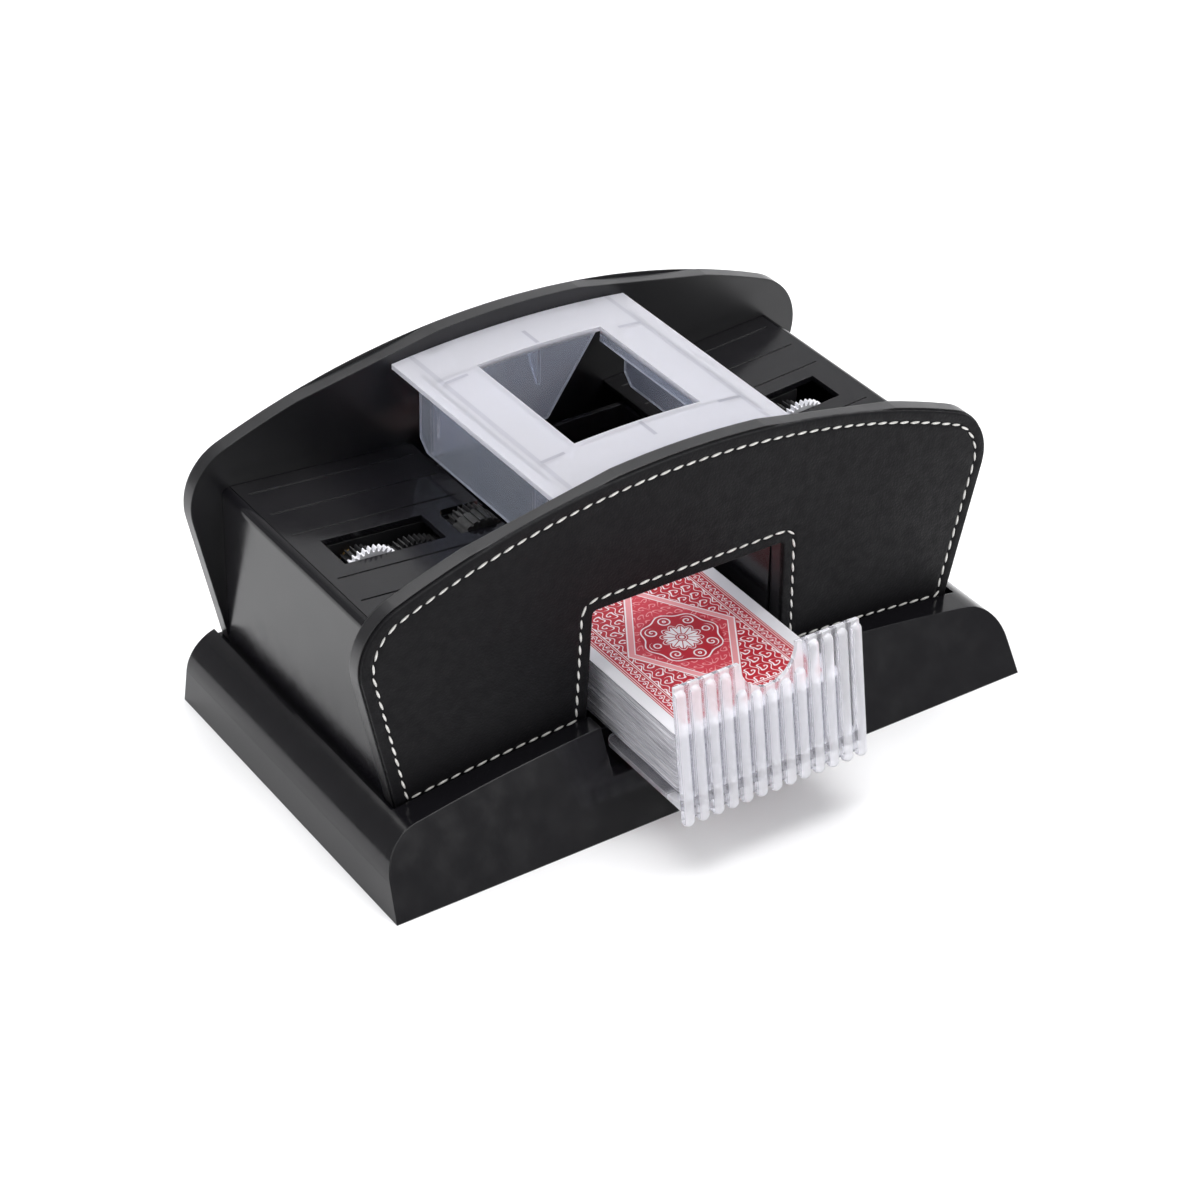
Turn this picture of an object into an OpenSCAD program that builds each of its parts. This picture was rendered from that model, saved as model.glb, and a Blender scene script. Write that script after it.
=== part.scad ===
/* [Base] */
// Length of the base along the floor
base_l = 245.2; // [220:0.1:300]
// Depth of the base along the floor
base_d = 136.6; // [130:0.1:165]
// Height of the base at the crown of its arched top
base_h = 31.7; // [29:0.1:38]
// Fall of the arched top from its crown to its shoulders
base_drop = 6.85; // [5:0.05:7.5]
// Radius of the rounded shoulder at each end
shoulder_r = 15; // [12:0.5:16]
// How far the shoulder's centre stands in from the end
shoulder_in = 16.2; // [16:0.1:18]
// Backward lean of the front face, mm per mm of height
front_lean = 0.53; // [0.3:0.01:0.6]
// Forward lean of the back face, mm per mm of height
back_lean = 0.01; // [0:0.01:0.02]
// Wall of the base moulding
base_wall = 2.6; // [2:0.1:3.2]
// Height of the sunken deck that the body stands on
deck_z = 22; // [20:0.1:24]
// Thickness of the deck
deck_t = 2.4; // [2:0.1:3]
// Thickness of the plate that closes the base from below
plate_t = 3; // [2.8:0.1:3.4]

/* [Side boards] */
// Thickness of each arched board
board_t = 5; // [4:0.1:7]
// Thickness of the leather covering
leather_t = 1.7; // [1:0.1:2.5]
// Height of the crown of the boards
board_h = 116.2; // [110:0.1:135]
// Fall of the boards' arch from its crown to above their feet
board_drop = 21.34; // [16:0.01:26]
// Radius of the boards' upper corners
board_corner_r = 21; // [12:1:26]
// Outward lean of the boards' ends, mm per mm of height
board_lean = 0.22; // [0.1:0.01:0.25]
// How far a board's foot stands in from the end of the base
board_in = 14.6; // [13:0.1:18]
// Distance from the back foot of the base to the back leather
back_step = 0.4; // [0.2:0.1:6]
// Distance from the front foot of the base to the front leather
front_step = 24.3; // [22:0.1:28]
// How far the leather's edge stands in from the board's edge
leather_in = 0.5; // [0.2:0.1:1.5]
// Half width of the front opening at its top
mouth_half = 36.8; // [36.5:0.1:37.5]
// Height of the top of the front opening
mouth_top = 69.5; // [68:0.1:72]
// Widening of the front opening towards its foot, on each side
mouth_flare = 1.5; // [0.5:0.1:2]
// Radius of the upper corners of the front opening
mouth_corner_r = 1.5; // [1:0.5:4]

/* [Hoppers] */
// Height of a hopper floor at its outer edge
floor_z = 81.3; // [79:0.1:84]
// Fall of a hopper floor towards the middle, mm per mm
floor_fall = 0.08; // [0.05:0.01:0.1]
// Thickness of a hopper floor
floor_t = 2; // [1.6:0.1:2.4]
// Thickness of an end wall, which is also the radius of its rounded rim
end_wall_t = 2.8; // [2.4:0.1:4]
// Spacing of the shallow grooves in the hopper floors
groove_pitch = 14; // [12:0.5:15]
// Width of a shallow groove
groove_w = 0.7; // [0.4:0.1:1]
// Width of the wheel slots
slot_w = 15.2; // [15:0.1:17]
// Length of the kicker wheel's slot
kicker_slot_l = 36.6; // [36:0.1:38]
// Bridge between the kicker slot and the feed slot
slot_bridge = 5.4; // [5:0.1:8]

/* [Card bin and cards] */
// Half width inside the card bin
bin_half = 36.6; // [36.3:0.1:37.2]
// Thickness of the bin's walls
bin_wall = 1.8; // [1.4:0.1:2]
// Width of a playing card
card_w = 63.5; // [57:0.5:63.5]
// Length of a playing card
card_l = 88.9; // [86:0.1:89]
// Height of the stack of cards
stack_h = 20.8; // [8:0.1:24]

/* [Tray] */
// Half width of the tray's front wall
tray_half = 35.6; // [34:0.1:35.8]
// Height of the top of the tray's front wall above the floor
tray_top = 64.9; // [60:0.1:67.5]
// Thickness of the tray's front wall
tray_t = 1.6; // [1.2:0.1:2]
// Thickness of the tray's floor
tray_floor_t = 1.7; // [1.2:0.1:2]
// Lean of the tray's front wall, mm per mm of height
tray_lean = 0.183; // [0.1:0.01:0.2]
// Number of upright ribs on the tray's front wall
rib_count = 13; // [9:2:15]
// Radius of an upright rib
rib_r = 2.1; // [1.6:0.1:2.2]
// Radius of the thumb notch
notch_r = 11; // [8:0.5:12]
// Travel of the tray into the machine
tray_travel = 42; // [36:1:43]
// Half width of the tray's tongue, which runs in the guide
tongue_half = 27; // [24:0.5:28]

/* [Cover] */
// Half width of the cover plate
cover_half = 45.2; // [43:0.1:48]
// Height of the crown of the cover plate
cover_h = 110.6; // [108:0.1:112]
// Radius of the arched cover plate
cover_arch_r = 385; // [300:5:500]
// Thickness of the cover's walls
cover_t = 1.8; // [1.4:0.1:2.4]
// Half width of the cover's window
window_half = 24; // [20:0.5:26]
// Depth of the cover's window
window_d = 56.6; // [50:0.1:58]
// Gap between the feed tyres and the cover's side walls, which lets one card pass at a time
gate_gap = 1.1; // [0.8:0.1:2]

/* [Drive] */
// Gear module
gear_m = 0.6; // [0.58:0.01:0.62]
// Teeth of the kicker wheel
kicker_teeth = 36; // [32:1:37]
// Teeth of the small gear on the kicker shaft
kicker_gear_teeth = 20; // [18:1:21]
// Teeth of the gear beside the feed tyre
feed_teeth = 27; // [24:1:28]
// Teeth of the motor pinion
pinion_teeth = 16; // [15:1:18]
// Depth of the idler's axis below the line between the wheels
idler_sag = 15; // [14:0.5:17]
// Radius of the feed tyre
tyre_r = 9.25; // [8.8:0.05:9.6]
// Number of ribs on the feed tyre
tyre_ribs = 22; // [16:1:28]
// Distance from the middle of the machine to the feed shafts
feed_x = 45.6; // [45.2:0.1:47]
// Distance from the left feed shaft to the left kicker shaft
left_kicker_reach = 40.6; // [35:0.1:41]
// Distance from the right feed shaft to the right kicker shaft
right_kicker_reach = 35.9; // [35:0.1:41]
// How far the kicker wheels stand above the hopper floor
kicker_rise = 2.4; // [2:0.1:4.5]
// Radius of the steel shafts
shaft_r = 1.5; // [1.5:0.1:1.8]
// Radial clearance of a shaft in its bushes
shaft_clear = 0.04; // [0.02:0.01:0.08]
// Radius of the motor's can
motor_r = 10; // [8:0.5:11]
// Length of the motor's can
motor_l = 25; // [20:1:30]

/* [Power] */
// Diameter of a battery cell
cell_d = 14.2; // [10.4:0.1:14.5]
// Length of a battery cell
cell_l = 50.2; // [44:0.1:50.5]
// Radius of the start button
button_r = 6; // [4:0.5:7]
// Travel of the start button
button_travel = 1.8; // [1:0.1:2.5]

/* [Hidden] */

$fn = 48;
arc_fn = 720;
// Keeps a corner's arc just inside the arch and the side that it runs into
blend_gap = 0.01;
LEFT = -1;
RIGHT = 1;

// Radius of an arch that falls by drop over a half span
function arch_radius(half, drop) = (half * half + drop * drop) / (2 * drop);

// Depth: the front and back feet, the boards and the middle of the bay between them
front_y = -base_d / 2;
back_y = base_d / 2;
leather_y = front_y + front_step;
front_board_y = leather_y + leather_t;
bay_front = front_board_y + board_t;
back_leather_t = 1.2;
back_board_y = back_y - back_step - back_leather_t;
bay_back = back_board_y - board_t;
bay_mid = (bay_front + bay_back) / 2;

// Length: the boards' feet, the end walls and the hopper floors
board_foot = base_l / 2 - board_in;
base_arch_r = arch_radius(base_l / 2 - shoulder_in, base_drop);
board_arch_r = arch_radius(board_foot, board_drop);
wall_out = board_foot + 0.3;
wall_in = wall_out - end_wall_t;
fit_gap = 0.2;
floor_out = wall_in - fit_gap;
bin_out = bin_half + bin_wall;
floor_in = bin_out - 0.1;
floor_angle = atan(floor_fall);
function floor_top(x) = floor_z - floor_fall * (floor_out - x);
function floor_under(x) = floor_top(x) - floor_t / cos(floor_angle);

// The sunken pocket that the boards and the body stand in
pocket_x = board_foot + 2.4;
pocket_front = leather_y - 1.6;

// Slots in the hopper floors
slot_front = bay_mid + 0.3 - slot_w / 2;
slot_back = slot_front + slot_w;
feed_slot_out = feed_x + tyre_r - 0.85;
kicker_slot_inner = feed_slot_out + slot_bridge;
kicker_slot_out = kicker_slot_inner + kicker_slot_l;

// Drive planes along the depth of the machine
wheel_front = slot_front + 0.7;
kicker_w = 2.2;
tyre_w = 6.4;
gear_front = wheel_front + 7.4;
gear_w = 4;
plate_gap = 1.6;
gearbox_t = 2;
rear_plate_y = gear_front + gear_w + plate_gap + 1.2;
front_plate_y = wheel_front - plate_gap - gearbox_t;
shaft_front = front_plate_y - 1.2;
shaft_back = rear_plate_y + gearbox_t + 1.2;
tooth_play = 0.14;

// Pitch radii and the axes of the drive, in the upright plane across the shafts
feed_r = feed_teeth * gear_m / 2;
kicker_gear_r = kicker_gear_teeth * gear_m / 2;
kicker_tip_r = (kicker_teeth + 2) * gear_m / 2;
pinion_r = pinion_teeth * gear_m / 2;
feed_z = floor_top(feed_x) + 2.75 - tyre_r;
function kicker_x(side) = feed_x + (side < 0 ? left_kicker_reach : right_kicker_reach);
function kicker_z(side) = floor_top(kicker_x(side)) + kicker_rise - kicker_tip_r;
function span(side) = norm([kicker_x(side) - feed_x, kicker_z(side) - feed_z]);
function idler_teeth(side) =
    round((norm([span(side), 2 * idler_sag]) - feed_r - kicker_gear_r) / gear_m);
function idler_r(side) = idler_teeth(side) * gear_m / 2;
function along(side) =
    (pow(feed_r + idler_r(side), 2) - pow(kicker_gear_r + idler_r(side), 2) + pow(span(side), 2))
    / (2 * span(side));
function below(side) = sqrt(pow(feed_r + idler_r(side), 2) - pow(along(side), 2));
function unit(side) = [kicker_x(side) - feed_x, kicker_z(side) - feed_z] / span(side);
function idler_x(side) = feed_x + along(side) * unit(side)[0] + below(side) * unit(side)[1];
function idler_z(side) = feed_z + along(side) * unit(side)[1] - below(side) * unit(side)[0];
motor_gap = gearbox_t + 0.6;
function motor_reach(side) = idler_r(side) + pinion_r;
function motor_z(side) =
    max(deck_z + motor_r + motor_gap, idler_z(side) - 0.88 * motor_reach(side));
function motor_angle(side) = -asin((idler_z(side) - motor_z(side)) / motor_reach(side));
function motor_x(side) = idler_x(side) + motor_reach(side) * cos(motor_angle(side));

// Turn of a gear at rest so that it meshes with the idler, whose first tooth points along +X
function mesh_turn(angle, teeth, side) =
    angle + 180 + angle * idler_teeth(side) / teeth + 180 / teeth;
function feed_turn(side) =
    mesh_turn(atan2(feed_z - idler_z(side), feed_x - idler_x(side)), feed_teeth, side);
function kicker_turn(side) =
    mesh_turn(atan2(kicker_z(side) - idler_z(side), kicker_x(side) - idler_x(side)),
              kicker_gear_teeth, side);
function pinion_turn(side) = mesh_turn(motor_angle(side), pinion_teeth, side);

// Tray and cards, drawn out as at rest
tray_floor_z = deck_z + 0.3;
tray_floor_top = tray_floor_z + tray_floor_t;
tray_top_y = leather_y + 0.7 - tray_travel;
tray_low_z = 20;
rib_below = 2.4;
rib_back = 1;
tray_wall_half = tray_half - 0.6;
tray_low_y = tray_top_y - tray_lean * (tray_top - tray_low_z);
tray_back_y = leather_y - 5;
tongue_back_y = tray_back_y + 53;
guide_front_y = tray_back_y + 43;
tray_angle = atan(tray_lean);
function tray_inside(z) = tray_top_y - tray_lean * (tray_top - z) + tray_t / cos(tray_angle);
bin_stop_y = tongue_back_y + tray_travel + 2;
notch_half = 38.2;
notch_floor = 16.4;

// Cover
cover_gap = 0.5;
cover_front = bay_front + cover_gap;
cover_back = bay_back - cover_gap;
window_front = bay_mid - 25.2;
window_back = window_front + window_d;
gate_x = bin_out + 1;
gate_z = feed_z + tyre_r + gate_gap;
ledge_z = 104.4;

// Battery compartment, below the deck on the left
cell_pitch = cell_d + 0.8;
box_x = -66;
box_y = bay_mid - 2.2;
box_half_x = 2 * cell_pitch + 2;
box_half_y = cell_l / 2 + 5;
box_low = plate_t + 0.6;
box_wall = 1.4;
door_gap = 0.3;
door_travel = 14;
door_groove = 1.2;

// Start button, at the back of the base
button_x = 62;
button_z = 11.5;
button_out = back_y - back_lean * button_z + 1.6;

screw_r = 1.3;
post_r = 3.6;
head_r = 2.6;
foot_r = 6;
post_in = 9;
post_places = [[bin_out + post_r + 2, bay_front + post_in],
               [bin_out + post_r + 2, bay_back - post_in],
               [floor_out - 7, bay_front + post_in], [floor_out - 7, bay_back - post_in]];
plate_screws = [[base_l / 2 - 16, front_y + 18], [base_l / 2 - 16, back_y - 12],
                [18, front_y + 30], [18, back_y - 12]];
foot_places = [[base_l / 2 - 27, front_y + 24], [base_l / 2 - 27, back_y - 17]];
board_screw_places = [[wall_in - 5, deck_z + 14], [wall_in - 5, deck_z + 44]];

BLACK = "#1c1b1f";
SATIN = "#2a292e";
FROST = [0.86, 0.86, 0.92, 0.6];

// Extrudes an outline drawn in the upright X-Z plane from y0 to y1
module upright(y0, y1) {
    translate([0, y1, 0]) rotate([90, 0, 0]) linear_extrude(y1 - y0) children();
}

// Extrudes an outline drawn in the Y-Z plane from x0 to x1
module sideways(x0, x1) {
    translate([x0, 0, 0]) rotate([90, 0, 90]) linear_extrude(x1 - x0) children();
}

module box(low, high) {
    translate(low) cube(high - low);
}

module mirrored() {
    children();
    mirror([1, 0, 0]) children();
}

// Turns a left or right part, drawn with positive X outwards, to its own side
module on_side(side) {
    mirror([side < 0 ? 1 : 0, 0, 0]) children();
}

// A round bar along Y
module bar(x, z, r, y0, y1) {
    translate([x, y1, z]) rotate([90, 0, 0]) cylinder(r = r, h = y1 - y0);
}

// ---------------------------------------------------------------- base

// Arched outline of the base, drawn in from its surface by inset
module base_outline(inset = 0) {
    end = base_l / 2 - inset;
    arch_c = base_h - base_arch_r;
    cx = base_l / 2 - shoulder_in;
    r = shoulder_r - inset;
    cz = arch_c + sqrt(pow(base_arch_r - shoulder_r, 2) - cx * cx);
    reach = norm([end - cx, cz]);
    turn = atan2(-cz, end - cx) + acos(r / reach);
    side = [cx + r * cos(turn), cz + r * sin(turn)];
    crown = [cx, cz - arch_c] / (base_arch_r - shoulder_r);
    above = [cx, cz] + crown * (r + 4);
    mirrored() {
        polygon([[0, 0], [end, 0], side, [cx, cz], [0, cz]]);
        translate([cx, cz]) circle(r - blend_gap);
    }
    intersection() {
        translate([0, arch_c]) circle(base_arch_r - inset, $fn = arc_fn);
        polygon([[0, 0], [cx, cz], above, [0, base_h + 4], [-above[0], above[1]], [-cx, cz]]);
    }
}

module base_solid(inset = 0) {
    front = front_y + inset * norm([1, front_lean]);
    lean = [[front, 0], [back_y - inset, 0], [back_y - inset - back_lean * base_h, base_h],
            [front + front_lean * base_h, base_h]];
    intersection() {
        upright(front_y, back_y) base_outline(inset);
        sideways(-base_l, base_l) polygon(lean);
    }
}

module notch_space() {
    box([-notch_half, front_y - 1, notch_floor], [notch_half, leather_y + 1, base_h + 1]);
}

module base_shell() color(BLACK) {
    difference() {
        base_solid();
        difference() {
            intersection() {
                base_solid(base_wall);
                box([-base_l, front_y, -1], [base_l, back_y, deck_z - deck_t]);
            }
            box([-notch_half - 2, front_y, notch_floor - 2.4], [notch_half + 2, leather_y + 4, deck_z]);
            for (side = [LEFT, RIGHT], place = plate_screws)
                translate([side * place[0], place[1], plate_t]) cylinder(r = post_r, h = deck_z);
        }
        translate([0, 0, -1]) intersection() {
            base_solid(base_wall);
            box([-base_l, front_y, 0], [base_l, back_y, plate_t + 1]);
        }
        box([-pocket_x, pocket_front, deck_z], [pocket_x, back_y + 1, base_h + 1]);
        notch_space();
        for (side = [LEFT, RIGHT], place = plate_screws)
            translate([side * place[0], place[1], -1]) cylinder(r = screw_r, h = 14);
        for (side = [LEFT, RIGHT], place = post_places)
            translate([side * place[0], place[1], 0]) cylinder(r = screw_r + 0.3, h = deck_z + 1);
        bar(button_x, button_z, button_r + 0.3, back_y - 8, back_y + 1);
    }
}

module bottom_plate() color(SATIN) {
    difference() {
        intersection() {
            base_solid(base_wall + fit_gap);
            box([-base_l, front_y, 0], [base_l, back_y, plate_t]);
        }
        translate([box_x, box_y, 0]) {
            box([-box_half_x, -box_half_y, -1], [box_half_x, box_half_y, plate_t + 1]);
            box([-box_half_x - door_travel, -box_half_y, -1], [0, box_half_y, plate_t - 1]);
            box([-box_half_x - door_travel, -box_half_y - door_groove, 0.7],
                [box_half_x, box_half_y + door_groove, plate_t - 1]);
        }
        for (side = [LEFT, RIGHT], place = plate_screws)
            translate([side * place[0], place[1], -1]) cylinder(r = screw_r + 0.3, h = 6);
        for (side = [LEFT, RIGHT], place = plate_screws)
            translate([side * place[0], place[1], -1]) cylinder(r = head_r + 0.3, h = 2);
        for (side = [LEFT, RIGHT], place = foot_places)
            translate([side * place[0], place[1], -1]) cylinder(r = foot_r + 0.2, h = 2);
    }
}

module base_feet() color("#3a3a3c") {
    for (side = [LEFT, RIGHT], place = foot_places)
        translate([side * place[0], place[1], 0]) cylinder(r = foot_r, h = 1);
}

module pan_screw(r, head_h, length) {
    cylinder(r = r, h = head_h);
    cylinder(r = screw_r - 0.05, h = head_h + length);
}

module bottom_screws() color("silver") {
    for (side = [LEFT, RIGHT], place = plate_screws)
        translate([side * place[0], place[1], 0.2]) difference() {
            pan_screw(head_r, 0.8, 9);
            cross_slot(0.5);
        }
}

module cross_slot(deep) {
    for (turn = [0, 90])
        rotate(turn) translate([-1.5, -0.25, -1]) cube([3, 0.5, 1 + deep]);
}

module frame_screws() color("silver") {
    for (side = [LEFT, RIGHT], place = post_places)
        translate([side * place[0], place[1], deck_z - deck_t - 1.6]) difference() {
            pan_screw(2.8, 1.6, 11);
            cross_slot(0.9);
        }
}

// ---------------------------------------------------------------- power and start button

module battery_box() color(SATIN) {
    translate([box_x, box_y, 0]) difference() {
        box([-box_half_x - box_wall, -box_half_y - box_wall, plate_t],
            [box_half_x + box_wall, box_half_y + box_wall, deck_z - deck_t]);
        box([-box_half_x, -box_half_y, plate_t - 1], [box_half_x, box_half_y, box_low + cell_d + 0.4]);
    }
}

module battery_cells() color("#c9a23a") {
    for (k = [0:3])
        translate([box_x + (k - 1.5) * cell_pitch, box_y, box_low + cell_d / 2])
            rotate([k % 2 == 0 ? 90 : -90, 0, 0]) {
                translate([0, 0, -cell_l / 2]) cylinder(r = cell_d / 2, h = cell_l - 1);
                translate([0, 0, cell_l / 2 - 1]) cylinder(r = 2.6, h = 1);
            }
}

module battery_contacts() color("silver") {
    wire = 0.7;
    step = 1.4;
    for (k = [0:3], end = [-1, 1]) {
        x = box_x + (k - 1.5) * cell_pitch;
        y = box_y + end * box_half_y;
        z = box_low + cell_d / 2;
        box([x - 5, min(y, y - end * 0.4), z - 5], [x + 5, max(y, y - end * 0.4), z + 5]);
        for (turn = [0:2])
            translate([x, y - end * (0.4 + turn * step), z]) rotate([end * 90, 0, 0])
                rotate_extrude() translate([3.4 - turn * wire, 0]) square([wire + 0.1, step]);
    }
}

// Slides along -X in the shallow recess beside the opening, on a tongue along each edge
module battery_door() color(SATIN) {
    end = box_half_x - door_gap;
    translate([box_x, box_y, 0]) difference() {
        union() {
            box([-box_half_x, -box_half_y + door_gap, 0.2], [end, box_half_y - door_gap, plate_t - 1.2]);
            box([-box_half_x, -box_half_y - door_groove + door_gap, 0.9],
                [end, box_half_y + door_groove - door_gap, plate_t - 1.2]);
        }
        for (k = [-3:3])
            translate([-box_half_x + 8, k * 2.4 - 0.5, 0]) cube([8, 1, 0.6]);
    }
}

module start_button() color("#2b2a2e") {
    bar(button_x, button_z, button_r, button_out - 5.4, button_out);
    bar(button_x, button_z, button_r + 1.4, button_out - 7.6, button_out - 5.4);
}

button_seat = button_out - 7.6;
switch_y = button_seat - 6;
spring_r = 3.6;

// Rides with the button, into a pocket in the switch board
module button_spring() color("silver") {
    for (turn = [0:4])
        translate([button_x, switch_y + 0.8 + turn * 1.2, button_z]) rotate([90, 0, 0])
            rotate_extrude() translate([spring_r, 0]) circle(0.35, $fn = 16);
    for (angle = [0, 90, 180, 270])
        rotate_about(button_x, button_z, angle)
            bar(button_x + spring_r, button_z, 0.25, switch_y + 0.8, button_seat);
}

module rotate_about(x, z, angle) {
    translate([x, 0, z]) rotate([0, angle, 0]) translate([-x, 0, -z]) children();
}

module start_switch() color("#3c5a3c") {
    board_back = switch_y - 1.6;
    difference() {
        box([button_x - 9, board_back, plate_t + 0.3], [button_x + 9, switch_y, deck_z - deck_t]);
        bar(button_x, button_z, spring_r + 0.8, board_back - 1, switch_y + 1);
    }
    box([button_x - 6, board_back - 5, button_z - 6], [button_x + 6, board_back, button_z + 6]);
    bar(button_x, button_z, 1.6, board_back, switch_y + 4);
}

// ---------------------------------------------------------------- boards and leather

// Outline of a side board: arched top, round upper corners, ends that lean outwards
module board_outline(inset = 0) {
    n = norm([1, board_lean]);
    foot = board_foot - inset * n;
    r = board_corner_r - inset;
    arch_r = board_arch_r - inset;
    arch_c = board_h - board_arch_r;
    a = foot - board_lean * deck_z - r * n;
    p = a * board_lean - arch_c;
    q = 1 + board_lean * board_lean;
    cz = (-p + sqrt(p * p - q * (a * a + arch_c * arch_c - pow(arch_r - r, 2)))) / q;
    cx = a + board_lean * cz;
    side = [cx + r / n, cz - r * board_lean / n];
    above = [cx, cz] + [cx, cz - arch_c] / (arch_r - r) * (r + 4);
    mirrored() {
        polygon([[0, deck_z], [foot, deck_z], side, [cx, cz], [0, cz]]);
        translate([cx, cz]) circle(r - blend_gap, $fn = 96);
    }
    intersection() {
        translate([0, arch_c]) circle(arch_r, $fn = arc_fn);
        polygon([[0, deck_z], [cx, cz], above, [0, board_h + 4], [-above[0], above[1]], [-cx, cz]]);
    }
}

// Outline of the front opening, open at its foot
module mouth_outline() {
    r = mouth_corner_r;
    foot = mouth_half + mouth_flare;
    low = deck_z - 1;
    mirrored() {
        polygon([[0, low], [foot, low], [mouth_half, mouth_top - r],
                 [mouth_half - r, mouth_top - r], [mouth_half - r, mouth_top], [0, mouth_top]]);
        translate([mouth_half - r, mouth_top - r]) circle(r);
    }
}

module front_board() color(SATIN) {
    difference() {
        upright(front_board_y, bay_front) difference() {
            board_outline();
            mouth_outline();
        }
        for (side = [LEFT, RIGHT], place = board_screw_places)
            bar(side * place[0], place[1], screw_r, bay_front - board_t + 1, bay_front + 1);
    }
}

module back_board() color(SATIN) {
    difference() {
        upright(bay_back, back_board_y) board_outline();
        for (side = [LEFT, RIGHT], place = board_screw_places)
            bar(side * place[0], place[1], screw_r, bay_back - 1, bay_back + board_t - 1);
    }
}

module front_leather() color("#25242a") {
    upright(leather_y, front_board_y) difference() {
        board_outline(leather_in);
        mouth_outline();
    }
}

module back_leather() color("#25242a") {
    upright(back_board_y, back_board_y + back_leather_t) board_outline(leather_in);
}

module board_screws() color("silver") {
    grip = end_wall_t;
    for (side = [LEFT, RIGHT], place = board_screw_places) {
        x = side * place[0];
        bar(x, place[1], screw_r - 0.05, bay_front - board_t + 1.2, bay_front + grip);
        bar(x, place[1], head_r, bay_front + grip, bay_front + grip + 1.6);
        bar(x, place[1], screw_r - 0.05, bay_back - grip, bay_back + board_t - 1.2);
        bar(x, place[1], head_r, bay_back - grip - 1.6, bay_back - grip);
    }
}

// ---------------------------------------------------------------- end walls and hopper floors

module end_wall(side) color(BLACK) {
    y0 = bay_front;
    y1 = bay_back;
    rim_z = floor_z - end_wall_t;
    on_side(side) difference() {
        union() {
            box([wall_in, y0, deck_z], [wall_out, y1, rim_z]);
            intersection() {
                bar(wall_in, rim_z, end_wall_t, y0, y1);
                box([wall_in, y0, rim_z - 0.01], [wall_out, y1, floor_z]);
            }
            box([wall_in - 10, y0, deck_z], [wall_in, y0 + end_wall_t, rim_z - 8]);
            box([wall_in - 10, y1 - end_wall_t, deck_z], [wall_in, y1, rim_z - 8]);
        }
        for (place = board_screw_places)
            bar(place[0], place[1], screw_r + 0.3, y0 - 1, y1 + 1);
    }
}

module left_end_wall() { end_wall(LEFT); }
module right_end_wall() { end_wall(RIGHT); }

// Places children in the plane of a hopper floor: x along its slope from the outer edge
module on_floor() {
    translate([floor_out, 0, floor_z]) rotate([0, -floor_angle, 0]) children();
}

module hopper_floor(side) color(BLACK) {
    c = cos(floor_angle);
    y0 = bay_front + fit_gap;
    y1 = bay_back - fit_gap;
    run = (floor_out - floor_in) / c;
    kick_out = (floor_out - kicker_slot_out) / c;
    kick_in = (floor_out - kicker_slot_inner) / c;
    feed_out = (floor_out - feed_slot_out) / c;
    on_side(side) difference() {
        union() {
            on_floor() translate([-run, y0, -floor_t]) cube([run, y1 - y0, floor_t]);
            for (place = post_places)
                translate([place[0], place[1], deck_z])
                    cylinder(r = post_r, h = floor_top(place[0]) - deck_z - 1);
            on_floor() for (x = [kick_in + 1.6, kick_out - 3.2, run - 1.6])
                translate([-x, y0 + 12, -floor_t - 0.9]) cube([1.6, slot_front - y0 - 18, 1]);
            on_floor() for (x = [kick_in + 1.6, kick_out - 3.2, run - 1.6])
                translate([-x, slot_back + 6, -floor_t - 0.9]) cube([1.6, y1 - slot_back - 18, 1]);
        }
        on_floor() {
            translate([-kick_in, slot_front, -6]) cube([kick_in - kick_out, slot_w, 12]);
            translate([-run - 2, slot_front, -6]) cube([run + 2 - feed_out - 3, slot_w, 12]);
            translate([-feed_out - 3.01, slot_front, -6]) cube([3.01, slot_w - 3, 12]);
            translate([-feed_out - 3, slot_back - 3, -6]) cylinder(r = 3, h = 12);
            for (k = [-3, -2, -1, 1, 2, 3])
                translate([-run + 3, bay_mid + 0.3 + k * groove_pitch - groove_w / 2, -0.35])
                    cube([run - 6, groove_w, 1]);
        }
        for (place = post_places)
            translate([place[0], place[1], deck_z - 1]) cylinder(r = screw_r, h = 14);
    }
}

module left_hopper_floor() { hopper_floor(LEFT); }
module right_hopper_floor() { hopper_floor(RIGHT); }

// ---------------------------------------------------------------- card bin, guide and ledges

module bin_walls() color(BLACK) {
    top = floor_under(floor_in) - fit_gap;
    y0 = bay_front + fit_gap;
    difference() {
        union() {
            for (side = [LEFT, RIGHT]) on_side(side)
                box([bin_half, y0, deck_z], [bin_out, bin_stop_y + bin_wall, top]);
            box([-bin_half, bin_stop_y, deck_z], [bin_half, bin_stop_y + bin_wall, top]);
        }
        for (side = [LEFT, RIGHT]) on_side(side)
            box([bin_half - 1, slot_front, feed_z - tyre_r - 1.5], [bin_out + 1, slot_back, top + 1]);
    }
}

module tray_guide() color(BLACK) {
    rail = 3.4;
    for (side = [LEFT, RIGHT]) on_side(side)
        box([tongue_half + 0.4, guide_front_y, deck_z],
            [tongue_half + 0.4 + rail, bin_stop_y, tray_floor_top - 0.1]);
}

ledge_half = 34;
ledge_w = 2.4;

module cover_ledges() color(BLACK) {
    box([-ledge_half, bay_front, ledge_z - 3], [ledge_half, bay_front + ledge_w, ledge_z]);
    mirrored()
        box([ledge_half - 8, bay_back - ledge_w, ledge_z - 3], [ledge_half, bay_back, ledge_z]);
}

// ---------------------------------------------------------------- cover

// The space below the cover's arched outer face, down to the gate
module cover_outline(drop = 0) {
    translate([0, cover_h - cover_arch_r]) circle(cover_arch_r - drop, $fn = arc_fn);
}

module cover_wall_yz() {
    chamfer = 4;
    y0 = bay_mid - 36.2;
    y1 = bay_mid + 38.8;
    polygon([[y0, cover_h], [y0, gate_z + chamfer], [y0 + chamfer, gate_z],
             [y1 - chamfer, gate_z], [y1, gate_z + chamfer], [y1, cover_h]]);
}

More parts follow.
